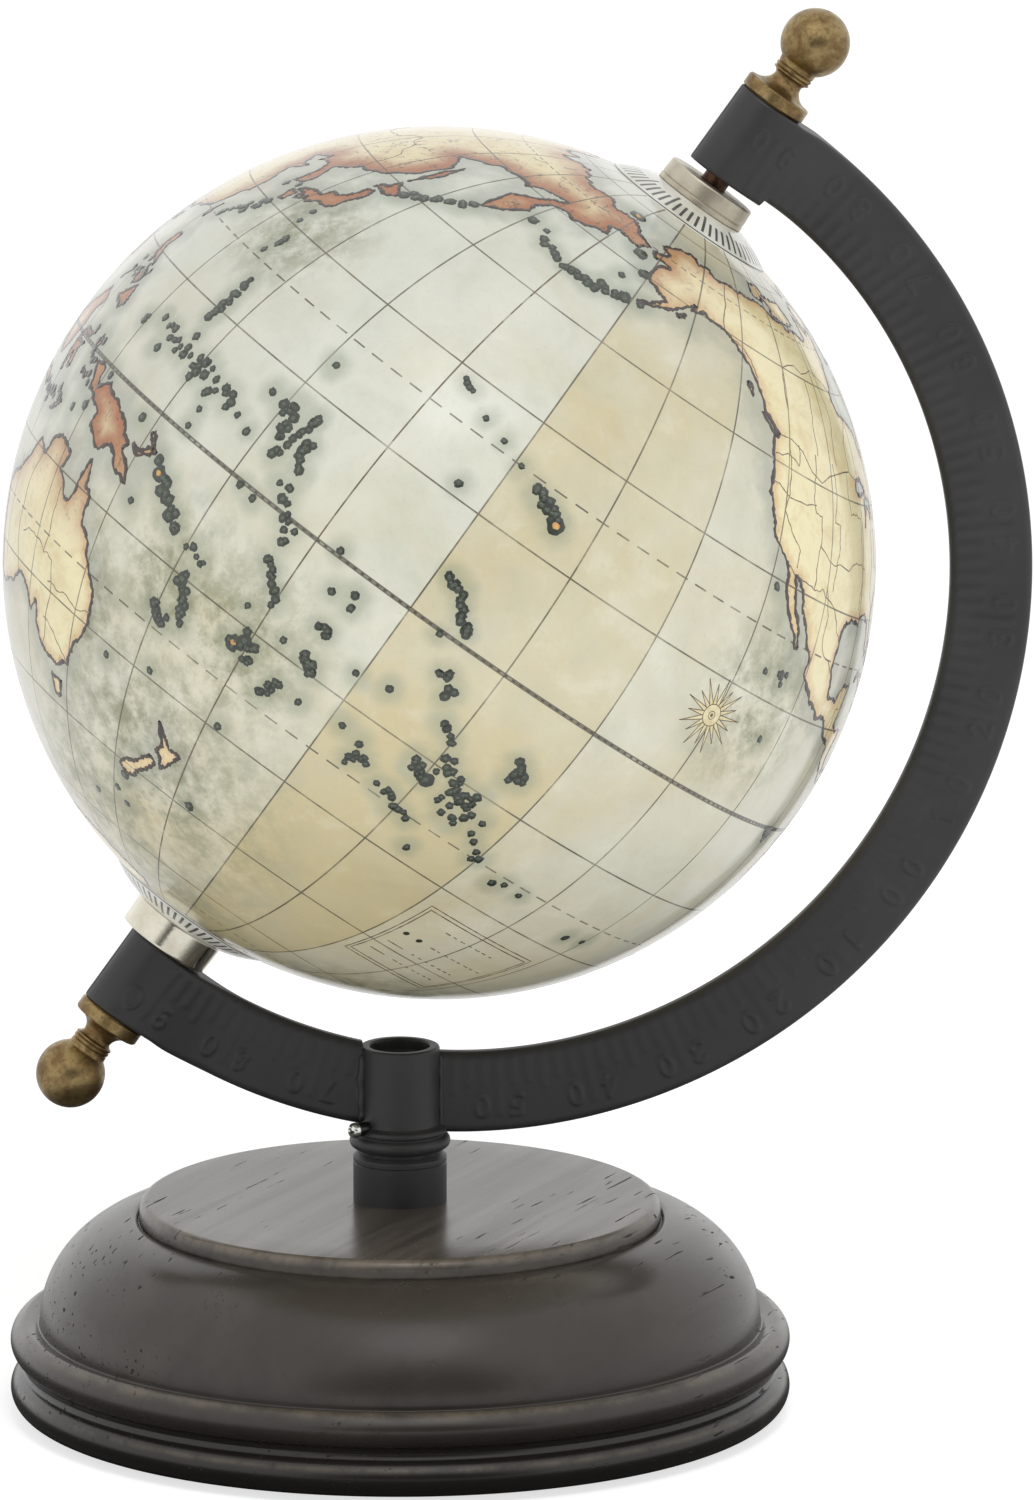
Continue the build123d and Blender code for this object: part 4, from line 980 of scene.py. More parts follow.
# Small islands: longitude, latitude, radius in millimetres
ISLES = """
    -155.5,19.6,1.15 -156.4,20.8,0.6 -157,21.3,0.45 -158,21.7,0.6 -159.5,22.2,0.55 -160.4,21.8,0.35
    -164,23.4,0.3 -168,24.8,0.3 -172,25.8,0.3 -177.4,28.2,0.4 -166.5,53.7,0.8 -168.3,53.1,0.6
    -170.4,52.6,0.5 -172.5,52.3,0.5 -174.5,52.1,0.6 -176.7,51.8,0.6 -178.5,51.7,0.5 179.5,51.6,0.45
    177.4,52,0.45 173.1,52.8,0.55 170.5,55,0.35 166.2,55.1,0.6 -170.2,57.1,0.4 -166.2,60,0.7
    -170.3,63.3,0.8 145.7,15.2,0.5 144.8,13.4,0.6 145.2,14.3,0.4 145.8,16.5,0.4 145.7,18,0.4
    145.3,19.4,0.35 145,20.6,0.35 138.1,9.5,0.5 140,9,0.35 143,8.2,0.4 146,7.5,0.4 147.5,8.1,0.35
    149.3,8.7,0.45 150.4,7.1,0.4 151.8,7.4,0.6 152.2,8.7,0.35 153.8,5.6,0.4 155,6.8,0.35 158.2,6.9,0.6
    160.3,6.2,0.35 163,5.3,0.5 144.4,7.2,0.35 134.5,7.4,0.5 154.8,3.6,0.35 154.9,1.1,0.35
    162.2,11.4,0.45 165.5,10.1,0.4 166.1,11.6,0.45 167.5,9,0.5 169,8.4,0.45 171.2,7.1,0.5 168.8,5.9,0.4
    170,10.5,0.45 171.9,9.2,0.4 172.1,6,0.4 166.6,19.3,0.4 173,1.4,0.6 172.8,3.1,0.4 174.5,-0.5,0.45
    175.6,-1.6,0.4 176.6,-2.6,0.4 166.9,-0.5,0.45 169.5,-0.9,0.4 176.2,-5.8,0.45 177.5,-7.3,0.45
    179.2,-8.6,0.5 179.8,-10.5,0.35 155.2,-6.2,0.9 156.9,-7.8,0.75 158.9,-8,0.7 160.2,-9.6,0.85
    161,-8.9,0.6 162,-10.6,0.6 166,-10.8,0.45 166.8,-15.2,0.75 167.6,-16.3,0.65 168.3,-17.7,0.55
    169.2,-19,0.5 169.6,-20.3,0.4 164.4,-20.5,0.6 165.3,-21.1,0.7 166.2,-22,0.6 167.3,-21,0.4
    178,-17.8,0.95 179.3,-16.6,0.75 -179,-18.4,0.35 177.1,-12.5,0.35 -172.4,-13.6,0.6 -171.6,-14.1,0.55
    -170.6,-14.4,0.4 -175.2,-21.1,0.5 -174,-18.7,0.45 -174.7,-19.8,0.4 -171.8,-9.3,0.45 -172.6,-8.5,0.4
    -176.2,-13.3,0.4 -169.9,-19,0.4 -159.8,-21.2,0.45 -158,-20,0.4 -157.3,-20.6,0.35 -161,-10.1,0.4
    -165.8,-11,0.35 -163.1,-18,0.35 -149.4,-17.6,0.85 -150.6,-17.4,0.5 -151.3,-16.7,0.5
    -152.2,-16.3,0.45 -147.7,-15,0.55 -146.2,-15.8,0.5 -145.2,-16.3,0.45 -144.2,-17.2,0.5
    -142.6,-17.6,0.45 -140.9,-18.2,0.45 -138.8,-18.4,0.4 -140.2,-8.9,0.55 -139,-9.8,0.5 -138.7,-10.5,0.4
    -149.5,-23.4,0.45 -151.3,-22.5,0.4 -152.8,-22.4,0.35 -147.7,-23.9,0.4 -144.3,-27.6,0.4
    -134.9,-23.1,0.5 -130.1,-25.1,0.45 -128.3,-24.4,0.35 -124.8,-24.7,0.35 -109.4,-27.1,0.5
    -105.4,-26.5,0.35 -157.4,1.9,0.65 -159.3,3.9,0.5 -160.4,4.7,0.45 -162.1,5.9,0.55 -155.9,-4,0.5
    -154.9,-5.6,0.45 -151.8,-10,0.45 -150.2,-11.4,0.4 -160,-0.4,0.4 -169.5,16.7,0.45 -176.6,0.7,0.4
    -171.7,-2.8,0.45 -174.5,-4.2,0.4 -171.2,-4.5,0.45 -91,-0.6,0.8 -90.2,-0.8,0.5 -89.4,-0.9,0.45
    -110.9,18.8,0.45 -114.7,18.4,0.35 -118.3,29,0.45 -109.2,10.3,0.4 -80,-33.6,0.4 -80,-26.3,0.35
    142.2,27,0.5 141.3,24.8,0.4 139.6,33.1,0.4 140,31,0.35 128,26.5,0.65 129.5,28.3,0.6 124.2,24.4,0.5
    146,44,0.6 147.9,45.1,0.7 150.5,46.7,0.5 152.4,47.8,0.4 154.5,49.2,0.45 155.9,50.4,0.55
    126.5,33.4,0.5 129.3,34.4,0.4 168,-29,0.4 159.1,-31.5,0.4 -178,-29.3,0.45 -176.5,-44,0.6
    166.1,-50.7,0.45 159,-54.5,0.4 169.1,-52.5,0.4 168,-47.2,0.6 178.7,71.2,0.9 -25.6,37.8,0.5
    -28.3,38.6,0.5 -16.5,28.2,0.5 -14,28.5,0.5 -15.6,27.8,0.4 -23.6,15.1,0.5 -25,17,0.4 -5.7,-15.9,0.4
    -14.4,-7.9,0.35 -59.8,-51.8,0.8 -58.4,-51.7,0.7 -36.7,-54.3,0.7 57.5,-20.3,0.5 55.5,-21.1,0.5
    55.4,-4.6,0.45 73.2,3.2,0.4 73.4,0.5,0.35 72.3,-6.5,0.4 43.3,-11.6,0.5 44.4,-12.2,0.45
    69.3,-49.3,0.9 -64.7,32.3,0.4 -7,62,0.5 -1.2,60.3,0.45 -61,14,0.45 -61.5,16.2,0.5 -62.4,17.5,0.4
    -61.4,12.1,0.4 -61.3,10.4,0.6 -66.4,18.2,0.7 -77.3,18.1,0.7 -77.9,24.5,0.6 -77,26.4,0.5 -75,23.5,0.4
    24.9,35.2,0.6 33.2,35.1,0.6 9.1,42.2,0.5 3,39.6,0.45 16,69,0.5 18.4,57.5,0.45 92.8,12.3,0.5
    93.7,7.2,0.4 105.7,-10.5,0.4 96.8,-12.2,0.4 37.8,-46.9,0.4 51.8,-46.4,0.4 53.9,12.5,0.6 50.5,81,0.5
    115.2,-8.5,0.5 117.8,-8.6,0.7 120,-9.8,0.6 134.5,-6.2,0.6 131.4,-7.7,0.5 126,-8,0.4 147.2,-2.1,0.55
    136.2,-1,0.5 153.2,-11.5,0.4 107.7,-2.8,0.6 99,-1.8,0.6 97.7,1.1,0.6 124.5,11,0.4
"""

# Chains and groups of small islands: first end, last end, how many, spread and size in millimetres
CHAINS = """
    144.9,13.3,145.2,20.6,11,0.25,0.5 142.1,26.6,142.2,27.9,4,0.1,0.45 171.9,6,169.6,12,11,0.6,0.55
    168.6,5.6,165.4,11.6,11,0.6,0.55 139,9,148,7.6,11,1.6,0.5 148.5,8.2,157.5,6.4,12,1.6,0.55
    134.3,7.2,134.7,8.1,3,0.3,0.4 172.9,3.4,176.8,-2.7,7,0.5,0.45 176.2,-5.8,179.9,-9.4,7,0.25,0.45
    -165,54,-176,51.8,9,0.5,0.6 -177,51.7,-187,52.8,8,0.5,0.5 -162.4,6.4,-161.6,5.4,5,0.7,0.45
    -160.3,4.6,-157.3,1.8,6,0.4,0.5 -156,-4,-154.8,-5.8,5,0.8,0.5 -151.9,-9.8,-150.2,-11.5,4,0.6,0.4
    -152.2,-16.2,-149.3,-17.8,8,0.5,0.5 -148.5,-14.8,-141,-18.4,16,1.4,0.5
    -146.5,-16.5,-138.5,-20.5,12,1.6,0.45 -140.4,-8.6,-138.6,-10.6,7,0.7,0.5
    -154.5,-21.8,-147.6,-23.9,6,0.6,0.4 -136,-22.8,-134.8,-23.3,3,0.5,0.4
    -175.4,-21.2,-173.9,-18.6,7,0.5,0.45 -172.8,-13.4,-170.4,-14.5,6,0.4,0.5
    -172.8,-8.4,-171.2,-9.6,5,0.5,0.45 -160,-21.4,-157.6,-19.6,6,0.9,0.4
    177.3,-17.6,179.6,-16.4,7,0.8,0.55 -179.4,-17,-178.6,-19.6,6,0.6,0.4
    166.6,-14.6,169.6,-20.2,9,0.5,0.5 164.2,-20.3,167,-22.3,7,0.3,0.45 154.7,-5.4,161.8,-10.6,13,0.7,0.6
    165.8,-10.7,169.2,-12.2,4,0.5,0.4 -160.2,22,-156,20.2,6,0.3,0.5 -178,28.3,-176,27.6,3,0.3,0.35
    -111.4,18.6,-110.2,19.4,4,0.5,0.45 -91.4,-0.2,-89.4,-1.2,6,0.5,0.4 146.4,44.2,155.4,50,12,0.4,0.5
    123.6,24.3,130.6,30.4,12,0.5,0.45 120.5,12.5,125,9.5,12,1.6,0.45 115.5,-8.5,125.5,-8.2,9,0.4,0.55
    126.2,1.6,131,-2.2,9,1.3,0.5 73,6,72.6,0.2,7,0.3,0.35 92.8,13.4,93.8,7,7,0.25,0.4
    -61.8,17.4,-61.2,12,9,0.25,0.4 -78.2,26.6,-73.2,21.4,9,0.7,0.45 23.5,38.6,27.2,36.2,9,0.9,0.4
    13.4,67.6,16.6,69.2,5,0.4,0.45
"""

COAST_SEED = 7
CHAIN_SEED = 11
ROUGHEN_LEVELS = 3
ROUGHEN_SHARE = 0.13
# How far from a coast its distance still counts, in millimetres
COAST_MARGIN = 6


def read_line(text):
    """Rows of numbers, such as the longitude,latitude pairs of a line."""
    return np.array([[float(value) for value in row.split(",")] for row in text.split()])


def roughen(points, random, closed):
    """A line with its long runs broken up, as a coast is."""
    for _ in range(ROUGHEN_LEVELS):
        following = np.roll(points, -1, axis=0) if closed else points[1:]
        begin = points if closed else points[:-1]
        run = following - begin
        sideways = np.stack((-run[:, 1], run[:, 0]), -1)
        push = random.uniform(-ROUGHEN_SHARE, ROUGHEN_SHARE, (len(run), 1))
        middle = begin + run / 2 + sideways * push
        woven = np.empty((2 * len(run), 2))
        woven[0::2] = begin
        woven[1::2] = middle
        points = woven if closed else np.vstack((woven, points[-1:]))
    return points


random = np.random.RandomState(COAST_SEED)
coast_lines = {name: roughen(read_line(text), random, True) for name, text in COASTS.items()}
coast_lines["antarctica"] = roughen(read_line(COASTS["antarctica"]), np.random.RandomState(COAST_SEED), True)


def coast_distance(lon, lat):
    """Signed distance, in millimetres, of map points from the nearest coast: positive on land."""
    nearest = np.full(len(lon), 99.0)
    on_land = np.zeros(len(lon), bool)
    for line in coast_lines.values():
        following = np.roll(line, -1, axis=0)
        middle = line[:, 0].mean()
        shifted = (lon - middle + 180) % 360 + middle - 180
        spans = [shifted]
        if line[:, 0].max() - line[:, 0].min() > 170:
            spans = [lon, lon + 360, lon - 360]
        for x in spans:
            margin = COAST_MARGIN / DEGREE_MM
            reach_x = margin / np.maximum(np.cos(np.radians(lat)), 0.2)
            close = (x > line[:, 0].min() - reach_x) & (x < line[:, 0].max() + reach_x)
            close &= (lat > line[:, 1].min() - margin) & (lat < line[:, 1].max() + margin)
            index = np.nonzero(close)[0]
            for part in np.array_split(index, max(1, len(index) * len(line) // 3000000)):
                if not len(part):
                    continue
                px, py = x[part, None], lat[part, None]
                cosine = np.cos(np.radians(py))
                ax, ay = (line[None, :, 0] - px) * cosine, line[None, :, 1] - py
                bx, by = (following[None, :, 0] - px) * cosine, following[None, :, 1] - py
                dx, dy = bx - ax, by - ay
                along = np.clip(-(ax * dx + ay * dy) / (dx * dx + dy * dy + 1e-12), 0, 1)
                gap = np.hypot(ax + along * dx, ay + along * dy).min(1) * DEGREE_MM
                nearest[part] = np.minimum(nearest[part], gap)
                crosses = (line[None, :, 1] > py) != (following[None, :, 1] > py)
                run = following - line
                with np.errstate(divide="ignore", invalid="ignore"):
                    at = line[None, :, 0] + (py - line[None, :, 1]) / run[None, :, 1] * run[None, :, 0]
                inside = (crosses & (at > px)).sum(1) % 2 == 1
                on_land[part] ^= inside
    return np.where(on_land, nearest, -nearest)


def all_isles():
    """The single islands and those of the chains: longitude, latitude, radius."""
    strewn = np.random.RandomState(CHAIN_SEED)
    spots = read_line(ISLES).tolist()
    for first_lon, first_lat, last_lon, last_lat, count, spread, size in read_line(CHAINS):
        for share in np.linspace(0, 1, int(count)):
            lat = first_lat + (last_lat - first_lat) * share + strewn.normal(0, spread) / DEGREE_MM
            east = strewn.normal(0, spread) / DEGREE_MM / math.cos(math.radians(lat))
            lon = first_lon + (last_lon - first_lon) * share + east
            spots.append((lon, lat, size * strewn.uniform(0.7, 1.15)))
    return np.array(spots)


isle_table = all_isles()


def isle_distance(lon, lat):
    """Distance, in millimetres, of map points from the nearest small island's edge."""
    nearest = np.full(len(lon), 99.0)
    for isle_lon, isle_lat, radius in isle_table:
        east = ((lon - isle_lon + 180) % 360 - 180) * math.cos(math.radians(isle_lat))
        gap = np.hypot(east, lat - isle_lat) * DEGREE_MM - radius
        nearest = np.minimum(nearest, gap)
    return nearest


GORE_ANGLE = 360 / GORE_COUNT
GORE_COLUMNS = 41
GORE_ROWS = 211
GORE_EDGE = math.degrees(math.acos(CALOTTE_R / GLOBE_R))
# How warm each gore's print came out at its north and south ends, from the first gore on
GORE_WARMTH = (
    (0.30, 0.50), (0.25, 0.40), (0.35, 0.55), (0.20, 0.45), (0.30, 0.50), (0.10, 0.35),
    (0.05, 0.48), (0.06, 0.58), (0.52, 0.92), (0.34, 0.60), (0.30, 0.50), (0.25, 0.45),
)
# Foxed and worn places, and darker patches round New Zealand, Fiji and the Coral Sea, painted shade of the
# ball's lower left: longitude, latitude and spread in degrees
STAINS_AND_SHADE = (
    (171, -42, 22), (160, -58, 20), (178, -18, 13), (166, -16, 11), (150, -28, 12), (-112, 14, 12),
    (142, 30, 10), (20, -42, 16), (-30, 20, 14), (75, -20, 16), (-60, 36, 12), (-100, -60, 14), (60, 10, 10),
)
# Lands printed redder, in the same way
RED_CENTRES = ((135, 48, 34), (118, 4, 26), (140, -4, 16), (166, 62, 20), (90, 40, 30))


def regions(lon, lat, centres):
    """1 in the middle of each region, falling to 0 a little past its spread."""
    values = np.zeros(len(lon))
    for centre_lon, centre_lat, spread in centres:
        east = ((lon - centre_lon + 180) % 360 - 180) * np.cos(np.radians(lat))
        values = np.maximum(values, np.clip(1.3 - np.hypot(east, lat - centre_lat) / spread, 0, 1))
    return values


for number in range(GORE_COUNT):
    first_lon = MAP_LON + GORE_TURN + number * GORE_ANGLE
    lon_row = np.linspace(first_lon, first_lon + GORE_ANGLE, GORE_COLUMNS)
    lat_column = np.linspace(-GORE_EDGE, GORE_EDGE, GORE_ROWS) + MAP_SHIFT
    lat, lon = (values.ravel() for values in np.meshgrid(lat_column, lon_row, indexing="ij"))
    wrapped = (lon + 180) % 360 - 180
    top = on_ball(lon, lat, np.full(len(lon), GLOBE_R))
    rim = np.concatenate(
        (
            np.arange(GORE_COLUMNS),
            np.arange(2, GORE_ROWS + 1) * GORE_COLUMNS - 1,
            (GORE_ROWS - 1) * GORE_COLUMNS + np.arange(GORE_COLUMNS - 2, -1, -1),
            np.arange(GORE_ROWS - 2, 0, -1) * GORE_COLUMNS,
        )
    )
    upper = top[rim]
    lower = BALL + (upper - BALL) * (1 - PAPER_T / GLOBE_R)
    faces = grid_faces(GORE_ROWS, GORE_COLUMNS)
    first = len(lon)
    second = first + len(rim)
    for index in range(len(rim)):
        following = (index + 1) % len(rim)
        faces.append((first + following, first + index, second + index, second + following))
    node = f"map_gore_{number + 1:02d}"
    gore = add_mesh(f"{node}_print", np.vstack((top, upper, lower)), faces, MAP_PAPER, "globe")
    every = np.concatenate((np.arange(len(lon)), rim, rim))
    printed = {
        "coast": np.clip(coast_distance(wrapped, lat), -COAST_MARGIN, COAST_MARGIN),
        "isle": np.clip(isle_distance(wrapped, lat), -1, COAST_MARGIN),
        "lon": lon,
        "lat": lat,
        "warm": np.interp(-lat, (-50, 50), GORE_WARMTH[number]),
        "stain_and_shade": regions(lon, lat, STAINS_AND_SHADE),
        "red": regions(lon, lat, RED_CENTRES),
    }
    for name, values in printed.items():
        set_values(gore, name, values[every])
    stands_for(gore, "map_paper_warm" if number % 2 else "map_paper_cool", node)


INK_LIFT = 0.012
INK_SINK = 0.05
INK_LIMIT = 77.0
INK_STEP = 0.8


def fine_line(line, closed):
    """The line with its points close together, so that it lies on the ball."""
    ends = np.vstack((line, line[:1])) if closed else line
    spots = []
    for begin, end in zip(ends[:-1], ends[1:]):
        count = max(1, math.ceil(np.hypot(*(end - begin)) / INK_STEP))
        spots.extend(begin + (end - begin) * share for share in np.linspace(0, 1, count, endpoint=False))
    return np.array(spots if closed else spots + [ends[-1]])


def new_store():
    """Points and faces gathered for one piece."""
    return {"points": [], "faces": [], "count": 0}


def store_block(store, points):
    """Adds points to a store and gives the number of the first."""
    start = store["count"]
    store["points"].append(np.asarray(points))
    store["count"] += len(points)
    return start


def ink_line(points, half_widths, closed, store, lift=INK_LIFT):
    """Adds a flat bead of ink along a line of map points to a store."""
    lon, lat = points[:, 0], points[:, 1]
    middle = on_ball(lon, lat, np.full(len(lon), GLOBE_R))
    ahead = np.roll(middle, -1, axis=0) - np.roll(middle, 1, axis=0)
    if not closed:
        ahead[0] = middle[1] - middle[0]
        ahead[-1] = middle[-1] - middle[-2]
    out = (middle - BALL) / GLOBE_R
    side = np.cross(out, ahead)
    side /= np.linalg.norm(side, axis=1, keepdims=True) + 1e-9
    side *= np.asarray(half_widths)[:, None]
    crown = middle + out * lift
    section = (middle - side - out * 0.02, crown - side * 0.8, crown + side * 0.8, middle + side - out * 0.02)
    section += (middle - out * INK_SINK,)
    corners = len(section)
    start = store_block(store, np.stack(section, 1).reshape(-1, 3))
    rows = len(points)
    for row in range(rows if closed else rows - 1):
        one, two = start + corners * row, start + corners * ((row + 1) % rows)
        for corner in range(corners):
            other = (corner + 1) % corners
            store["faces"].append((one + corner, one + other, two + other, two + corner))
    if not closed:
        last = start + corners * (rows - 1)
        store["faces"].append(tuple(start + corner for corner in range(corners - 1, -1, -1)))
        store["faces"].append(tuple(last + corner for corner in range(corners)))


def runs_inside(line, closed):
    """Splits a line where it leaves the gores' printed latitudes."""
    keep = np.abs(line[:, 1]) < INK_LIMIT
    if keep.all():
        return [(line, closed)]
    start = np.argmin(keep) if closed else 0
    line, keep = np.roll(line, -start, axis=0), np.roll(keep, -start)
    pieces = []
    current = []
    for point, kept in zip(line, keep):
        if kept:
            current.append(point)
        elif current:
            pieces.append(current)
            current = []
    if current:
        pieces.append(current)
    return [(np.array(piece), False) for piece in pieces if len(piece) > 2]


def stored_piece(name, store, look):
    """One piece on the ball from a store."""
    piece = add_mesh(name, np.vstack(store["points"]), store["faces"], look, "globe")


def ink_piece(name, lines, half_width, look, unevenness):
    """One piece of ink along many lines."""
    store = new_store()
    for line, closed in lines:
        for part, part_closed in runs_inside(fine_line(line, closed), closed):
            widths = half_width * random.uniform(1 - unevenness, 1 + unevenness, len(part))
            ink_line(part, widths, part_closed, store)
    stored_piece(name, store, look)


ink_piece("map_coast_ink", [(line, True) for line in coast_lines.values()], 0.36, COAST_INK, 0.45)
border_lines = [(roughen(read_line(text), random, False), False) for text in BORDERS]
ink_piece("map_border_ink", border_lines, 0.1, BORDER_INK, 0.3)

# The legend's frame, with rows of short strokes in place of words
LEGEND_WEST, LEGEND_EAST, LEGEND_NORTH, LEGEND_SOUTH = -133.0, -107.0, -33.5, -50.0
LEGEND_INSETS = (0.0, 0.7)
# Rows of strokes: latitude, and longitude of the first and last; then the plain samples beside two of them
LEGEND_ROWS = ((-36.4, -126, -114), (-40.4, -124, -110), (-43.6, -124, -112), (-46.8, -124, -111))
LEGEND_PITCH = 1.9
LEGEND_SAMPLES = (-43.6, -46.8)
SAMPLE_WEST, SAMPLE_EAST = -130.5, -126.5
LEGEND_SPOTS = ((-130.2, -40.4), (-127.0, -40.4))
legend_lines = []
for inset in LEGEND_INSETS:
    west, east = LEGEND_WEST + inset, LEGEND_EAST - inset
    north, south = LEGEND_NORTH - inset, LEGEND_SOUTH + inset
    legend_lines.append((np.array([(west, north), (east, north), (east, south), (west, south)]), True))
for row_lat, row_west, row_east in LEGEND_ROWS:
    for stroke_lon in np.arange(row_west, row_east, LEGEND_PITCH):
        stroke = np.array([(stroke_lon, row_lat), (stroke_lon + random.uniform(0.6, 1.3), row_lat)])
        legend_lines.append((stroke, False))
for row_lat in LEGEND_SAMPLES:
    legend_lines.append((np.array([(SAMPLE_WEST, row_lat), (SAMPLE_EAST, row_lat)]), False))
ink_piece("map_legend_ink", legend_lines, 0.11, BORDER_INK, 0.35)

# The date line in long dashes
DASH_PITCH = 4.0
DASH_HALF = 1.2
dash_lines = []
for dash_lat in np.arange(-60.0, 64.0, DASH_PITCH):
    dash_lats = (dash_lat, dash_lat + DASH_HALF, dash_lat + 2 * DASH_HALF)
    dash_lines.append((np.array([(180.0, lat) for lat in dash_lats]), False))
ink_piece("map_date_line_ink", dash_lines, 0.1, BORDER_INK, 0.1)


BLOT_SHOULDER = 0.86
BLOT_SINK = 0.03


def blot(lon, lat, radius, lift, corners, store, wobble):
    """Adds a small uneven spot of ink to a store."""
    angles = np.linspace(0, 2 * math.pi, corners, endpoint=False)
    reach = radius * (1 + wobble * random.uniform(-1, 1, corners)) / DEGREE_MM

    def ring(share, radius):
        ring_lon = lon + share * reach * np.cos(angles) / math.cos(math.radians(lat))
        return on_ball(ring_lon, lat + share * reach * np.sin(angles), np.full(corners, radius))

    edge = ring(1.0, GLOBE_R - BLOT_SINK)
    shoulder = ring(BLOT_SHOULDER, GLOBE_R + lift)
    heights = np.array((GLOBE_R + lift, GLOBE_R - INK_SINK))
    ends = on_ball(np.array((lon, lon)), np.array((lat, lat)), heights)
    start = store_block(store, np.vstack((edge, shoulder, ends)))
    inner = start + corners
    crown, root = inner + corners, inner + corners + 1
    for index in range(corners):
        following = (index + 1) % corners
        store["faces"].append((start + index, start + following, inner + following, inner + index))
        store["faces"].append((inner + index, inner + following, crown))
        store["faces"].append((start + following, start + index, root))


# Islands: a dark spot with a paler middle
FILLED_R = 0.9
isle_store, centre_store, fill_store = new_store(), new_store(), new_store()
for isle_lon, isle_lat, radius in isle_table:
    if abs(isle_lat) > INK_LIMIT:
        continue
    spot_r = 0.18 + 1.3 * radius
    blot(isle_lon, isle_lat, spot_r, 0.015, 14, isle_store, 0.18)
    inner_store = fill_store if radius >= FILLED_R else centre_store
    blot(isle_lon, isle_lat, 0.38 * spot_r, 0.022, 10, inner_store, 0.2)
for spot_lon, spot_lat in LEGEND_SPOTS:
    blot(spot_lon, spot_lat, 0.55, 0.015, 14, isle_store, 0.05)
stored_piece("map_isle_ink", isle_store, ISLE_INK)
stored_piece("map_isle_centres", centre_store, ISLE_CENTRE)
stored_piece("map_isle_fill", fill_store, ISLE_FILL)

# Compass rose: long and short points round a ring, dark outside and pale within
ROSE_LON, ROSE_LAT = -120.5, 10.0
ROSE_POINTS = 18
ROSE_HUB_R = 1.9
ROSE_REACH = (5.8, 4.7)
ROSE_STEPS = 12
ROSE_LIFT = 0.014


def rose_spots(reach, angle):
    """Map points at reaches (mm) and angles from north round the rose's centre."""
    east = np.asarray(reach) * np.sin(angle) / DEGREE_MM
    north = np.asarray(reach) * np.cos(angle) / DEGREE_MM
    lat = ROSE_LAT + north
    return np.stack((ROSE_LON + east / np.cos(np.radians(lat)), lat), -1)


rose_store, rose_fill_store = new_store(), new_store()
for point in range(ROSE_POINTS):
    angle = 2 * math.pi * point / ROSE_POINTS
    half = math.pi / ROSE_POINTS
    reach = ROSE_REACH[point % 2]
    outward = np.linspace(ROSE_HUB_R - 0.3, reach, ROSE_STEPS)
    narrowing = (reach - outward) / (reach - ROSE_HUB_R)
    width = ROSE_HUB_R * math.sin(half) * narrowing + 0.01
    ink_line(rose_spots(outward, angle), width, False, rose_fill_store, 0.006)
    for side in (-1, 1):
        turn = angle + side * half * np.clip(narrowing, 0, 1) * ROSE_HUB_R / outward
        ink_line(rose_spots(outward, turn), np.full(ROSE_STEPS, 0.075), False, rose_store, ROSE_LIFT)
ring = np.linspace(0, 2 * math.pi, 48, endpoint=False)
for ring_r in (0.6, ROSE_HUB_R - 0.25):
    spots = rose_spots(np.full(len(ring), ring_r), ring)
    ink_line(spots, np.full(len(ring), 0.07), True, rose_store, ROSE_LIFT)
blot(ROSE_LON, ROSE_LAT, ROSE_HUB_R, 0.008, 24, rose_fill_store, 0.02)
blot(ROSE_LON, ROSE_LAT, 0.32, 0.02, 14, rose_store, 0.05)
stored_piece("map_compass_rose", rose_store, ROSE_INK)
stored_piece("map_compass_fill", rose_fill_store, ROSE_FILL)

# Calottes at the poles
for side, direction in (("north", UP), ("south", -UP)):
    rim = np.array((CALOTTE_R, ball_height(CALOTTE_R)))
    flat = np.array((CALOTTE_FLAT_R, GLOBE_R + CALOTTE_RISE))
    slope = []
    for share in np.linspace(0, 1, 22):
        slope.append(rim + (flat - rim) * share + np.array((0, 4 * CALOTTE_BULGE * share * (1 - share))))
    underside = [(reach, ball_height(reach) - PAPER_T) for reach in np.linspace(BUSH_R + 0.1, CALOTTE_R, 12)]
    outline = np.vstack((slope, (BUSH_R + 0.1, GLOBE_R + CALOTTE_RISE), underside))
    cap = lathe(f"{side}_calotte_print", outline, BALL, direction, CALOTTE_PAPER, "globe", 180, True)
    spots = np.array([vertex.co for vertex in cap.data.vertices]) / MM - BALL
    flat_x, flat_y = spots @ ACROSS, spots @ BACK
    turn = np.degrees(np.arctan2(flat_y, flat_x))
    set_values(cap, "reach", np.hypot(flat_x, flat_y))
    set_values(cap, "turn", turn)
    stands_for(cap, "white_paper", f"{side}_calotte")


# Arm

FRONT_STEPS = 52
CORNER_POINTS = 7
EDGE_POINTS = 3
BACK_STEPS = 8
ARM_STATIONS = 1040
END_STATIONS = 16
END_BLEND = 16.0
# The raised scale: degrees round the ring between ticks, ticks for each figure, its zero, its height, and
# the lengths of ticks at a figure, half way and elsewhere
TICK_STEP = 1.0237 * 10 / 6
TICKS_PER_TEN = 6
SCALE_ZERO = -0.2
RELIEF_H = 0.2
TICK_LENGTHS = (9.8, 6.4, 5.2)
DIGIT_MIDDLE = 8.05
DIGIT_SIDE = 2.6
# Figures up to this one stand the other way up
TURNED_FIGURES = -10
EYE_EDGE_R = 0.5
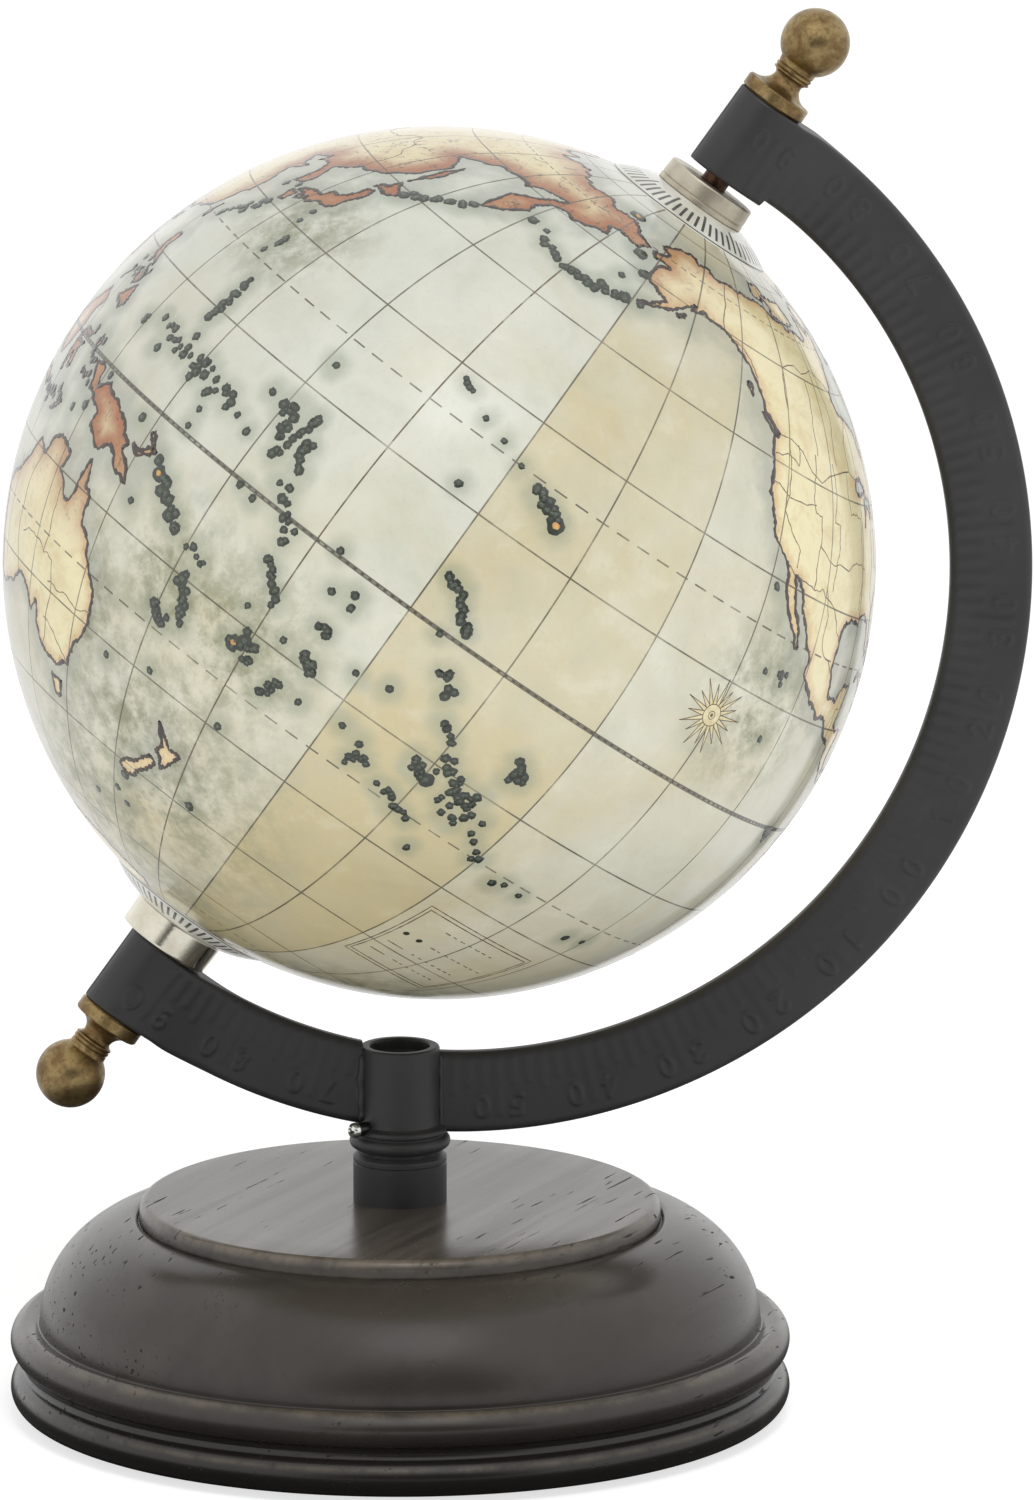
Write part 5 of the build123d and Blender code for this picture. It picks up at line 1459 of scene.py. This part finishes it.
# The bar is cut away inside the socket's open top
WELL_R = 4.4
WELL_DEPTH = 1.9
SOCKET_R = 5.85
DIGIT_STROKES = {
    "1": [[(-0.5, 1.0), (0, 1.5), (0, -1.5)]],
    "2": [
        [(-0.8, 0.75), (-0.6, 1.3), (0, 1.5), (0.6, 1.25), (0.8, 0.7), (0.5, 0.05)],
        [(0.5, 0.05), (-0.8, -1.5), (0.85, -1.5)],
    ],
    "3": [
        [(-0.75, 1.1), (-0.3, 1.5), (0.4, 1.45), (0.75, 1.0), (0.55, 0.35), (0, 0.1)],
        [(0, 0.1), (0.6, -0.15), (0.85, -0.75), (0.5, -1.35), (-0.2, -1.5), (-0.8, -1.1)],
    ],
    "4": [[(0.4, -1.5), (0.4, 1.5), (-0.85, -0.6), (0.9, -0.6)]],
    "5": [
        [(0.75, 1.5), (-0.55, 1.5), (-0.7, 0.2), (0.1, 0.4), (0.7, 0.05), (0.8, -0.7)],
        [(0.8, -0.7), (0.4, -1.35), (-0.3, -1.5), (-0.8, -1.15)],
    ],
    "6": [
        [(0.65, 1.3), (0, 1.5), (-0.6, 0.9), (-0.8, -0.4), (-0.5, -1.3), (0.1, -1.5), (0.7, -1.1)],
        [(0.7, -1.1), (0.75, -0.4), (0.3, 0.1), (-0.4, 0.05), (-0.8, -0.4)],
    ],
    "7": [[(-0.8, 1.5), (0.85, 1.5), (-0.2, -1.5)]],
    "8": [
        [(0.58 * math.cos(a), 0.78 + 0.7 * math.sin(a)) for a in np.linspace(0, 2 * math.pi, 17)],
        [(0.78 * math.cos(a), -0.72 + 0.78 * math.sin(a)) for a in np.linspace(0, 2 * math.pi, 17)],
    ],
    "0": [[(0.85 * math.cos(a), 1.5 * math.sin(a)) for a in np.linspace(0, 2 * math.pi, 21)]],
}
DIGIT_STROKES["9"] = [[(-x, -y) for x, y in stroke] for stroke in DIGIT_STROKES["6"]]


def fade(values, near, far):
    """1 up to near, 0 from far on, smooth between."""
    share = np.clip((values - near) / (far - near), 0, 1)
    return 1 - share * share * (3 - 2 * share)


def scale_relief(angle, rise):
    """Height of the raised scale at an angle round the ring (degrees) and a rise from its inner edge (mm)."""
    value = (angle - SCALE_ZERO) / TICK_STEP
    mark = np.round(value)
    radius = ARC_INNER_R + rise
    off = np.abs(value - mark) * np.radians(TICK_STEP) * radius
    at_figure, half_way, elsewhere = TICK_LENGTHS
    shorter = np.where(mark % (TICKS_PER_TEN // 2) == 0, half_way, elsewhere)
    length = np.where(mark % TICKS_PER_TEN == 0, at_figure, shorter)
    reach = np.minimum(fade(rise, length - 0.6, length + 0.3), fade(1.2 - rise, 0.0, 0.8))
    height = fade(off, 0.1, 0.95) * reach * (np.abs(mark) <= 9 * TICKS_PER_TEN) * 0.6
    for ten in range(-90, 91, 10):
        onward = np.radians(angle - SCALE_ZERO - ten / 10 * TICKS_PER_TEN * TICK_STEP) * radius
        inward = DIGIT_MIDDLE - rise
        near = (np.abs(onward) < 4.4) & (np.abs(inward) < 2.4)
        heading = -1 if ten <= TURNED_FIGURES else 1
        for figure, shift in ((str(abs(ten) // 10), -DIGIT_SIDE), ("0", DIGIT_SIDE)):
            x, y = heading * onward[near] - shift, heading * inward[near]
            gap = np.full(len(x), 9.0)
            for stroke in DIGIT_STROKES[figure]:
                for (ax, ay), (bx, by) in zip(stroke[:-1], stroke[1:]):
                    dx, dy = bx - ax, by - ay
                    along = np.clip(((x - ax) * dx + (y - ay) * dy) / (dx * dx + dy * dy), 0, 1)
                    gap = np.minimum(gap, np.hypot(x - ax - along * dx, y - ay - along * dy))
            height[near] = np.maximum(height[near], fade(gap, 0.1, 0.58))
    return height * RELIEF_H


def bar_section(width, half, corner):
    """Closed outline of the bar's section: rise from the inner edge, depth to the back, outward normal."""
    spots = []
    normals = []

    def run(start, end, count, normal):
        for share in np.linspace(0, 1, count, endpoint=False):
            spots.append((start[0] + (end[0] - start[0]) * share, start[1] + (end[1] - start[1]) * share))
            normals.append(normal)

    def turn(middle, first, count):
        for share in np.linspace(0, 1, count, endpoint=False):
            angle = math.radians(first + 90 * share)
            normal = (math.cos(angle), math.sin(angle))
            spots.append((middle[0] + corner * normal[0], middle[1] + corner * normal[1]))
            normals.append(normal)

    inside = half - corner
    run((0, inside), (0, -inside), 2 * EDGE_POINTS, (-1, 0))
    turn((corner, -inside), 180, CORNER_POINTS)
    run((corner, -half), (width - corner, -half), FRONT_STEPS, (0, -1))
    turn((width - corner, -inside), 270, CORNER_POINTS)
    run((width, -inside), (width, inside), 2 * EDGE_POINTS, (1, 0))
    turn((width - corner, inside), 0, CORNER_POINTS)
    run((width - corner, half), (corner, half), BACK_STEPS, (0, 1))
    turn((corner, inside), 90, CORNER_POINTS)
    return np.array(spots), np.array(normals)


def ring_station(share):
    """Inner and outer point of the ring, as (across, up) from its centre; share runs from -1 to 1."""
    spots = []
    for radius in (ARC_INNER_R, ARC_OUTER_R):
        angle = share * (math.pi / 2 + math.asin(ARC_OFFSET / radius))
        spots.append(np.array((radius * math.cos(angle), radius * math.sin(angle))))
    inner, outer = spots
    end = 1 if share > 0 else -1
    from_post = abs(ARC_CENTRE[0] + inner[0] * ACROSS[0] + inner[1] * UP[0])
    if share < 0 and from_post < SOCKET_R:
        sunk = (WELL_DEPTH + 1.0) * float(fade(np.array(from_post), WELL_R + 0.4, SOCKET_R - 0.3))
        inner = inner + (outer - inner) / ARC_WIDTH * sunk
    if share > 0 and inner[0] < PAD_REACH - ARC_OFFSET:
        inner[1] = UPPER_EYE_FACE - ARC_SHIFT
    over_seat = abs(outer[1]) - SEAT_HALF_SPAN
    flattened = fade(np.array(outer[0] + ARC_OFFSET), EYE_R + 0.3, EYE_R + 4.0)
    outer[1] -= end * over_seat * float(flattened) if over_seat > 0 else 0
    return inner, outer


def arm_stations():
    """Sections along the arm, lower end to upper: inner point, outer point, half thickness, edge radius."""
    stations = []
    turns = np.linspace(math.pi / 2, 0, END_STATIONS, endpoint=False)
    halves = [max(EYE_R * math.cos(turn), 0.05) for turn in turns]
    shifts = [np.array((-EYE_R * math.sin(turn), 0)) for turn in turns]
    inner, outer = ring_station(-1.0)
    for half, shift in zip(halves, shifts):
        stations.append((inner + shift, outer + shift, half, min(EYE_EDGE_R, 0.95 * half)))
    for share in np.linspace(-1, 1, ARM_STATIONS):
        inner, outer = ring_station(share)
        gone = (1 - abs(share)) * (math.pi / 2 + ARC_OFFSET / ARC_INNER_R) * (ARC_INNER_R + ARC_WIDTH / 2)
        blend = float(fade(np.array(gone), 1.0, END_BLEND))
        edge = ARC_EDGE_R + (EYE_EDGE_R - ARC_EDGE_R) * blend
        stations.append((inner, outer, ARC_HALF_T + (EYE_R - ARC_HALF_T) * blend, edge))
    for half, shift in zip(halves[::-1], shifts[::-1]):
        stations.append((inner + shift, outer + shift, half, min(EYE_EDGE_R, 0.95 * half)))
    return stations


arm_points = []
arm_angles = []
arm_rises = []
arm_normals = []
for inner, outer, half, corner in arm_stations():
    width = np.linalg.norm(outer - inner)
    spots, normals = bar_section(width, half, corner)
    rising = (outer - inner) / width
    flat = inner + spots[:, :1] * rising
    arm_points.append(ARC_CENTRE + flat[:, :1] * ACROSS + flat[:, 1:] * UP + spots[:, 1:] * BACK)
    direction = rising[0] * ACROSS + rising[1] * UP
    arm_normals.append(normals[:, :1] * direction + normals[:, 1:] * BACK)
    arm_angles.append(np.degrees(np.arctan2(flat[:, 1], flat[:, 0])))
    arm_rises.append(np.where(normals[:, 1] < -0.2, spots[:, 0], -9.0))
columns = len(arm_points[0])
rows = len(arm_points)
relief = scale_relief(np.concatenate(arm_angles), np.concatenate(arm_rises))
relief[np.concatenate(arm_rises) < 0] = 0
arm_surface = np.vstack(arm_points) + np.vstack(arm_normals) * relief[:, None]
arm_faces = grid_faces(rows, columns, wrap=True)
arm_faces.append(tuple(range(columns)))
arm_faces.append(tuple((rows - 1) * columns + index for index in range(columns - 1, -1, -1)))
arm = add_mesh("meridian_arm_cast", arm_surface, arm_faces, PAINT, "arm")
stands_for(arm, "black_paint", "meridian_arm")

SOCKET_BORE_R = 4.3
SOCKET_BORE_H = 12.3
SOCKET_RING_AT = 6.3
LARGE_RING_R, LARGE_RING_Z = 1.1, ARM_FOOT + 1.1
SMALL_RING_R, SMALL_RING_Z = 0.6, ARM_FOOT + 2.8
socket_outline = [
    (0, ARM_FOOT + SOCKET_BORE_H, 0),
    (SOCKET_BORE_R, ARM_FOOT + SOCKET_BORE_H, 0.1),
    (SOCKET_BORE_R, ARM_FOOT, 0.1),
    (SOCKET_RING_AT, ARM_FOOT, 0.15),
]
socket_outline += arc_points((SOCKET_RING_AT, LARGE_RING_Z), (LARGE_RING_R, LARGE_RING_R), -75, 75, 12)
socket_outline += arc_points((SOCKET_RING_AT, SMALL_RING_Z), (SMALL_RING_R, SMALL_RING_R), -60, 75, 9)
socket_outline += [
    (SOCKET_R + 0.1, ARM_FOOT + 3.75, 0.3),
    (SOCKET_R, ARM_FOOT + 5.0, 0),
    (SOCKET_R, SOCKET_TOP - 3.0, 0),
    (SOCKET_R, SOCKET_TOP, 0.5),
    (WELL_R, SOCKET_TOP, 0.4),
    (WELL_R, SOCKET_TOP - WELL_DEPTH, 0.2),
    (0, SOCKET_TOP - WELL_DEPTH, 0),
]
socket = lathe("arm_socket_turned", rounded(socket_outline), *UPRIGHT, PAINT, "arm", 144)

# Weld seams where the bar meets the socket, on both faces and both sides
SEAM_R = 0.6
SEAM_STEPS = 46
SEAM_CORNERS = 12
SEAM_SEED = 3
FAR_SEAM_SHARE = 0.62
seam_random = np.random.RandomState(SEAM_SEED)
seam_store = new_store()


def uneven():
    """Soft random lumps along a seam."""
    return np.convolve(seam_random.uniform(-1, 1, SEAM_STEPS + 4), np.ones(5) / 2.2, "valid")


for face in (-1, 1):
    for side in (-1, 1):
        reach = math.sqrt(SOCKET_R ** 2 - ARC_HALF_T ** 2)
        x = side * (reach + 0.15)
        gap = x - ARC_CENTRE[0]
        low = ARC_CENTRE[2] - math.sqrt(ARC_OUTER_R ** 2 - gap ** 2) + 0.6
        high = min(ARC_CENTRE[2] - math.sqrt(ARC_INNER_R ** 2 - gap ** 2) - 0.4, SOCKET_TOP - 0.9)
        start = seam_store["count"]
        swell = SEAM_R * (1.0 if side < 0 else FAR_SEAM_SHARE)
        lumps = 1 + 0.15 * uneven()
        sway = 0.1 * uneven()
        shares = np.linspace(0, 1, SEAM_STEPS)
        taper = np.sqrt(np.clip(np.minimum(shares, 1 - shares) * 12, 0.02, 1))
        angles = np.linspace(0, 2 * math.pi, SEAM_CORNERS, endpoint=False)
        for share, lump, bend, narrow in zip(shares, lumps, sway, taper):
            middle = np.array((x + bend, face * (ARC_HALF_T + 0.05), low + (high - low) * share))
            ring = np.zeros((SEAM_CORNERS, 3))
            ring[:, 0] = np.cos(angles) * swell * lump * narrow
            ring[:, 1] = np.sin(angles) * swell * lump * narrow * 0.8
            store_block(seam_store, middle + ring)
        for row in range(SEAM_STEPS - 1):
            for index in range(SEAM_CORNERS):
                following = (index + 1) % SEAM_CORNERS
                one, two = start + row * SEAM_CORNERS, start + (row + 1) * SEAM_CORNERS
                seam_store["faces"].append((one + index, one + following, two + following, two + index))
        seam_store["faces"].append(tuple(start + index for index in range(SEAM_CORNERS - 1, -1, -1)))
        last = start + (SEAM_STEPS - 1) * SEAM_CORNERS
        seam_store["faces"].append(tuple(last + index for index in range(SEAM_CORNERS)))
seams = add_mesh("arm_weld_seams", np.vstack(seam_store["points"]), seam_store["faces"], PAINT, "arm")


# Stage, light and camera


class StageNodes(Nodes):
    """The emptied node tree of a stage material or of the world."""

    def __init__(self, owner):
        owner.use_nodes = True
        owner.node_tree.nodes.clear()
        super().__init__(owner.node_tree)

    def diffuse(self, grey):
        return self.node("BsdfDiffuse", None, {"Color": (grey, grey, grey, 1.0)}).outputs[0]

    def light(self, kind, strength):
        """White emission, or white background of the world."""
        return self.node(kind, None, {"Color": (1, 1, 1, 1), "Strength": strength}).outputs[0]

    def both(self, first, second):
        return self.node("AddShader", None, {0: first, 1: second}).outputs[0]

    def blend(self, share, first, second):
        return self.node("MixShader", None, {0: share, 1: first, 2: second}).outputs[0]

    def rays(self, kind):
        """1 for rays of one kind, such as Camera or Glossy."""
        return self.node("LightPath").outputs[f"Is {kind} Ray"]

    def seen_directly(self):
        """1 for rays from the camera, a reflection or a clear surface."""
        seen = self.math("MAXIMUM", self.rays("Camera"), self.rays("Glossy"))
        return self.math("MAXIMUM", seen, self.rays("Transmission"))

    def finish(self, output, surface):
        self.node(output, None, {"Surface": surface})


FLOOR_HALF = 4.0
floor_mesh = bpy.data.meshes.new("floor")
corners = [(x * FLOOR_HALF, y * FLOOR_HALF, 0) for x, y in ((-1, -1), (1, -1), (1, 1), (-1, 1))]
floor_mesh.from_pydata(corners, [], [(0, 1, 2, 3)])
floor = bpy.data.objects.new("floor", floor_mesh)
bpy.context.scene.collection.objects.link(floor)

# The floor as the camera sees it: its own glow, and the grey that takes the object's shadow
FLOOR_GLOW = 0.71
FLOOR_SHADED = 0.52
# The floor that lights the object, and how it shows in reflections: dim close to the base, pale further off
FLOOR_WHITE = 0.9
FLOOR_LIFT = 0.6
FLOOR_SHADOWED = 0.4
FLOOR_MIRRORED = 0.12
FLOOR_HAZE = 0.9
FLOOR_DIM_R, FLOOR_PALE_R = 0.065, 0.15
floor_look = bpy.data.materials.new("pale_floor")
nodes = StageNodes(floor_look)
position = nodes.node("NewGeometry").outputs["Position"]
from_post = nodes.node("VectorMath", {"operation": "LENGTH"}, {0: position}).outputs["Value"]
dimness = nodes.step(from_post, FLOOR_PALE_R, FLOOR_DIM_R)
lifted = nodes.both(nodes.diffuse(FLOOR_WHITE), nodes.light("Emission", FLOOR_LIFT))
plain = nodes.blend(dimness, lifted, nodes.diffuse(FLOOR_SHADOWED))
lit = nodes.both(nodes.light("Emission", FLOOR_GLOW), nodes.diffuse(FLOOR_SHADED))
dimmed = nodes.blend(dimness, nodes.light("Emission", FLOOR_HAZE), nodes.diffuse(FLOOR_MIRRORED))
in_mirror = nodes.blend(nodes.rays("Glossy"), lit, dimmed)
nodes.finish("OutputMaterial", nodes.blend(nodes.seen_directly(), plain, in_mirror))
floor_mesh.materials.append(floor_look)

# The room behind the camera is dimmer than the white sweep, in reflections only
AMBIENT = 0.57
ROOM_DIM = 0.08
ROOM_EDGE = (-0.94, -0.74)
world = bpy.data.worlds.new("studio")
bpy.context.scene.world = world
nodes = StageNodes(world)
direction = nodes.node("TexCoord").outputs["Generated"]
depth = nodes.node("SeparateXYZ", None, {0: direction}).outputs["Y"]
room = nodes.step(depth, *ROOM_EDGE, ROOM_DIM)
strength = nodes.node("Mix", {"data_type": "FLOAT"}, {0: nodes.rays("Glossy"), 2: 1.0, 3: room}).outputs[0]
soft = nodes.light("Background", AMBIENT)
nodes.finish("OutputWorld", nodes.blend(nodes.seen_directly(), soft, nodes.light("Background", strength)))


def add_softbox(name, place, target, size, power):
    """Rectangular soft light that looks at a point."""
    lamp = bpy.data.lights.new(name, "AREA")
    lamp.shape = "RECTANGLE"
    lamp.size, lamp.size_y = size
    lamp.energy = power
    holder = bpy.data.objects.new(name, lamp)
    holder.location = place
    aim = Vector(target) - Vector(place)
    holder.rotation_euler = aim.to_track_quat("-Z", "Y").to_euler()
    bpy.context.scene.collection.objects.link(holder)
    return holder


GLOBE_SPOT = tuple(BALL * MM)
KEY_PLACE = (0.03, -0.68, 1.12)
KEY_SIZE = (0.36, 0.48)
SWEEP_PLACE = (0.0, 1.6, 0.45)
SWEEP_SIZE = (2.6, 0.9)
# Watts of the main lamp for matt surfaces and in reflections, and of the lamp behind
KEY_POWER, SHINE_POWER, SWEEP_POWER = 5.2, 3.6, 1.0
key = add_softbox("key", KEY_PLACE, GLOBE_SPOT, KEY_SIZE, KEY_POWER)
key.visible_glossy = False
shine = add_softbox("shine", KEY_PLACE, GLOBE_SPOT, KEY_SIZE, SHINE_POWER)
shine.visible_diffuse = False
sweep = add_softbox("sweep", SWEEP_PLACE, GLOBE_SPOT, SWEEP_SIZE, SWEEP_POWER)
sweep.visible_camera = False

# The camera, in metres and degrees: its turn round the post, tilt, distance, height and step aside
CAMERA_YAW = 7.0
CAMERA_TILT = 77.5437
CAMERA_BACK = 2.5
CAMERA_HEIGHT = 0.65122
CAMERA_ASIDE = 0.017145
CAMERA_LENS = 421.53
camera_data = bpy.data.cameras.new("camera")
camera_data.sensor_fit = "VERTICAL"
camera_data.sensor_height = 36.0
camera_data.lens = CAMERA_LENS
camera_data.clip_end = 50.0
camera = bpy.data.objects.new("camera", camera_data)
yaw = math.radians(CAMERA_YAW)
camera.location = (
    CAMERA_ASIDE * math.cos(yaw) - CAMERA_BACK * math.sin(yaw),
    -CAMERA_ASIDE * math.sin(yaw) - CAMERA_BACK * math.cos(yaw),
    CAMERA_HEIGHT,
)
camera.rotation_euler = (math.radians(CAMERA_TILT), 0, -yaw)
bpy.context.scene.collection.objects.link(camera)
bpy.context.scene.camera = camera

bpy.context.scene.view_settings.view_transform = "Standard"
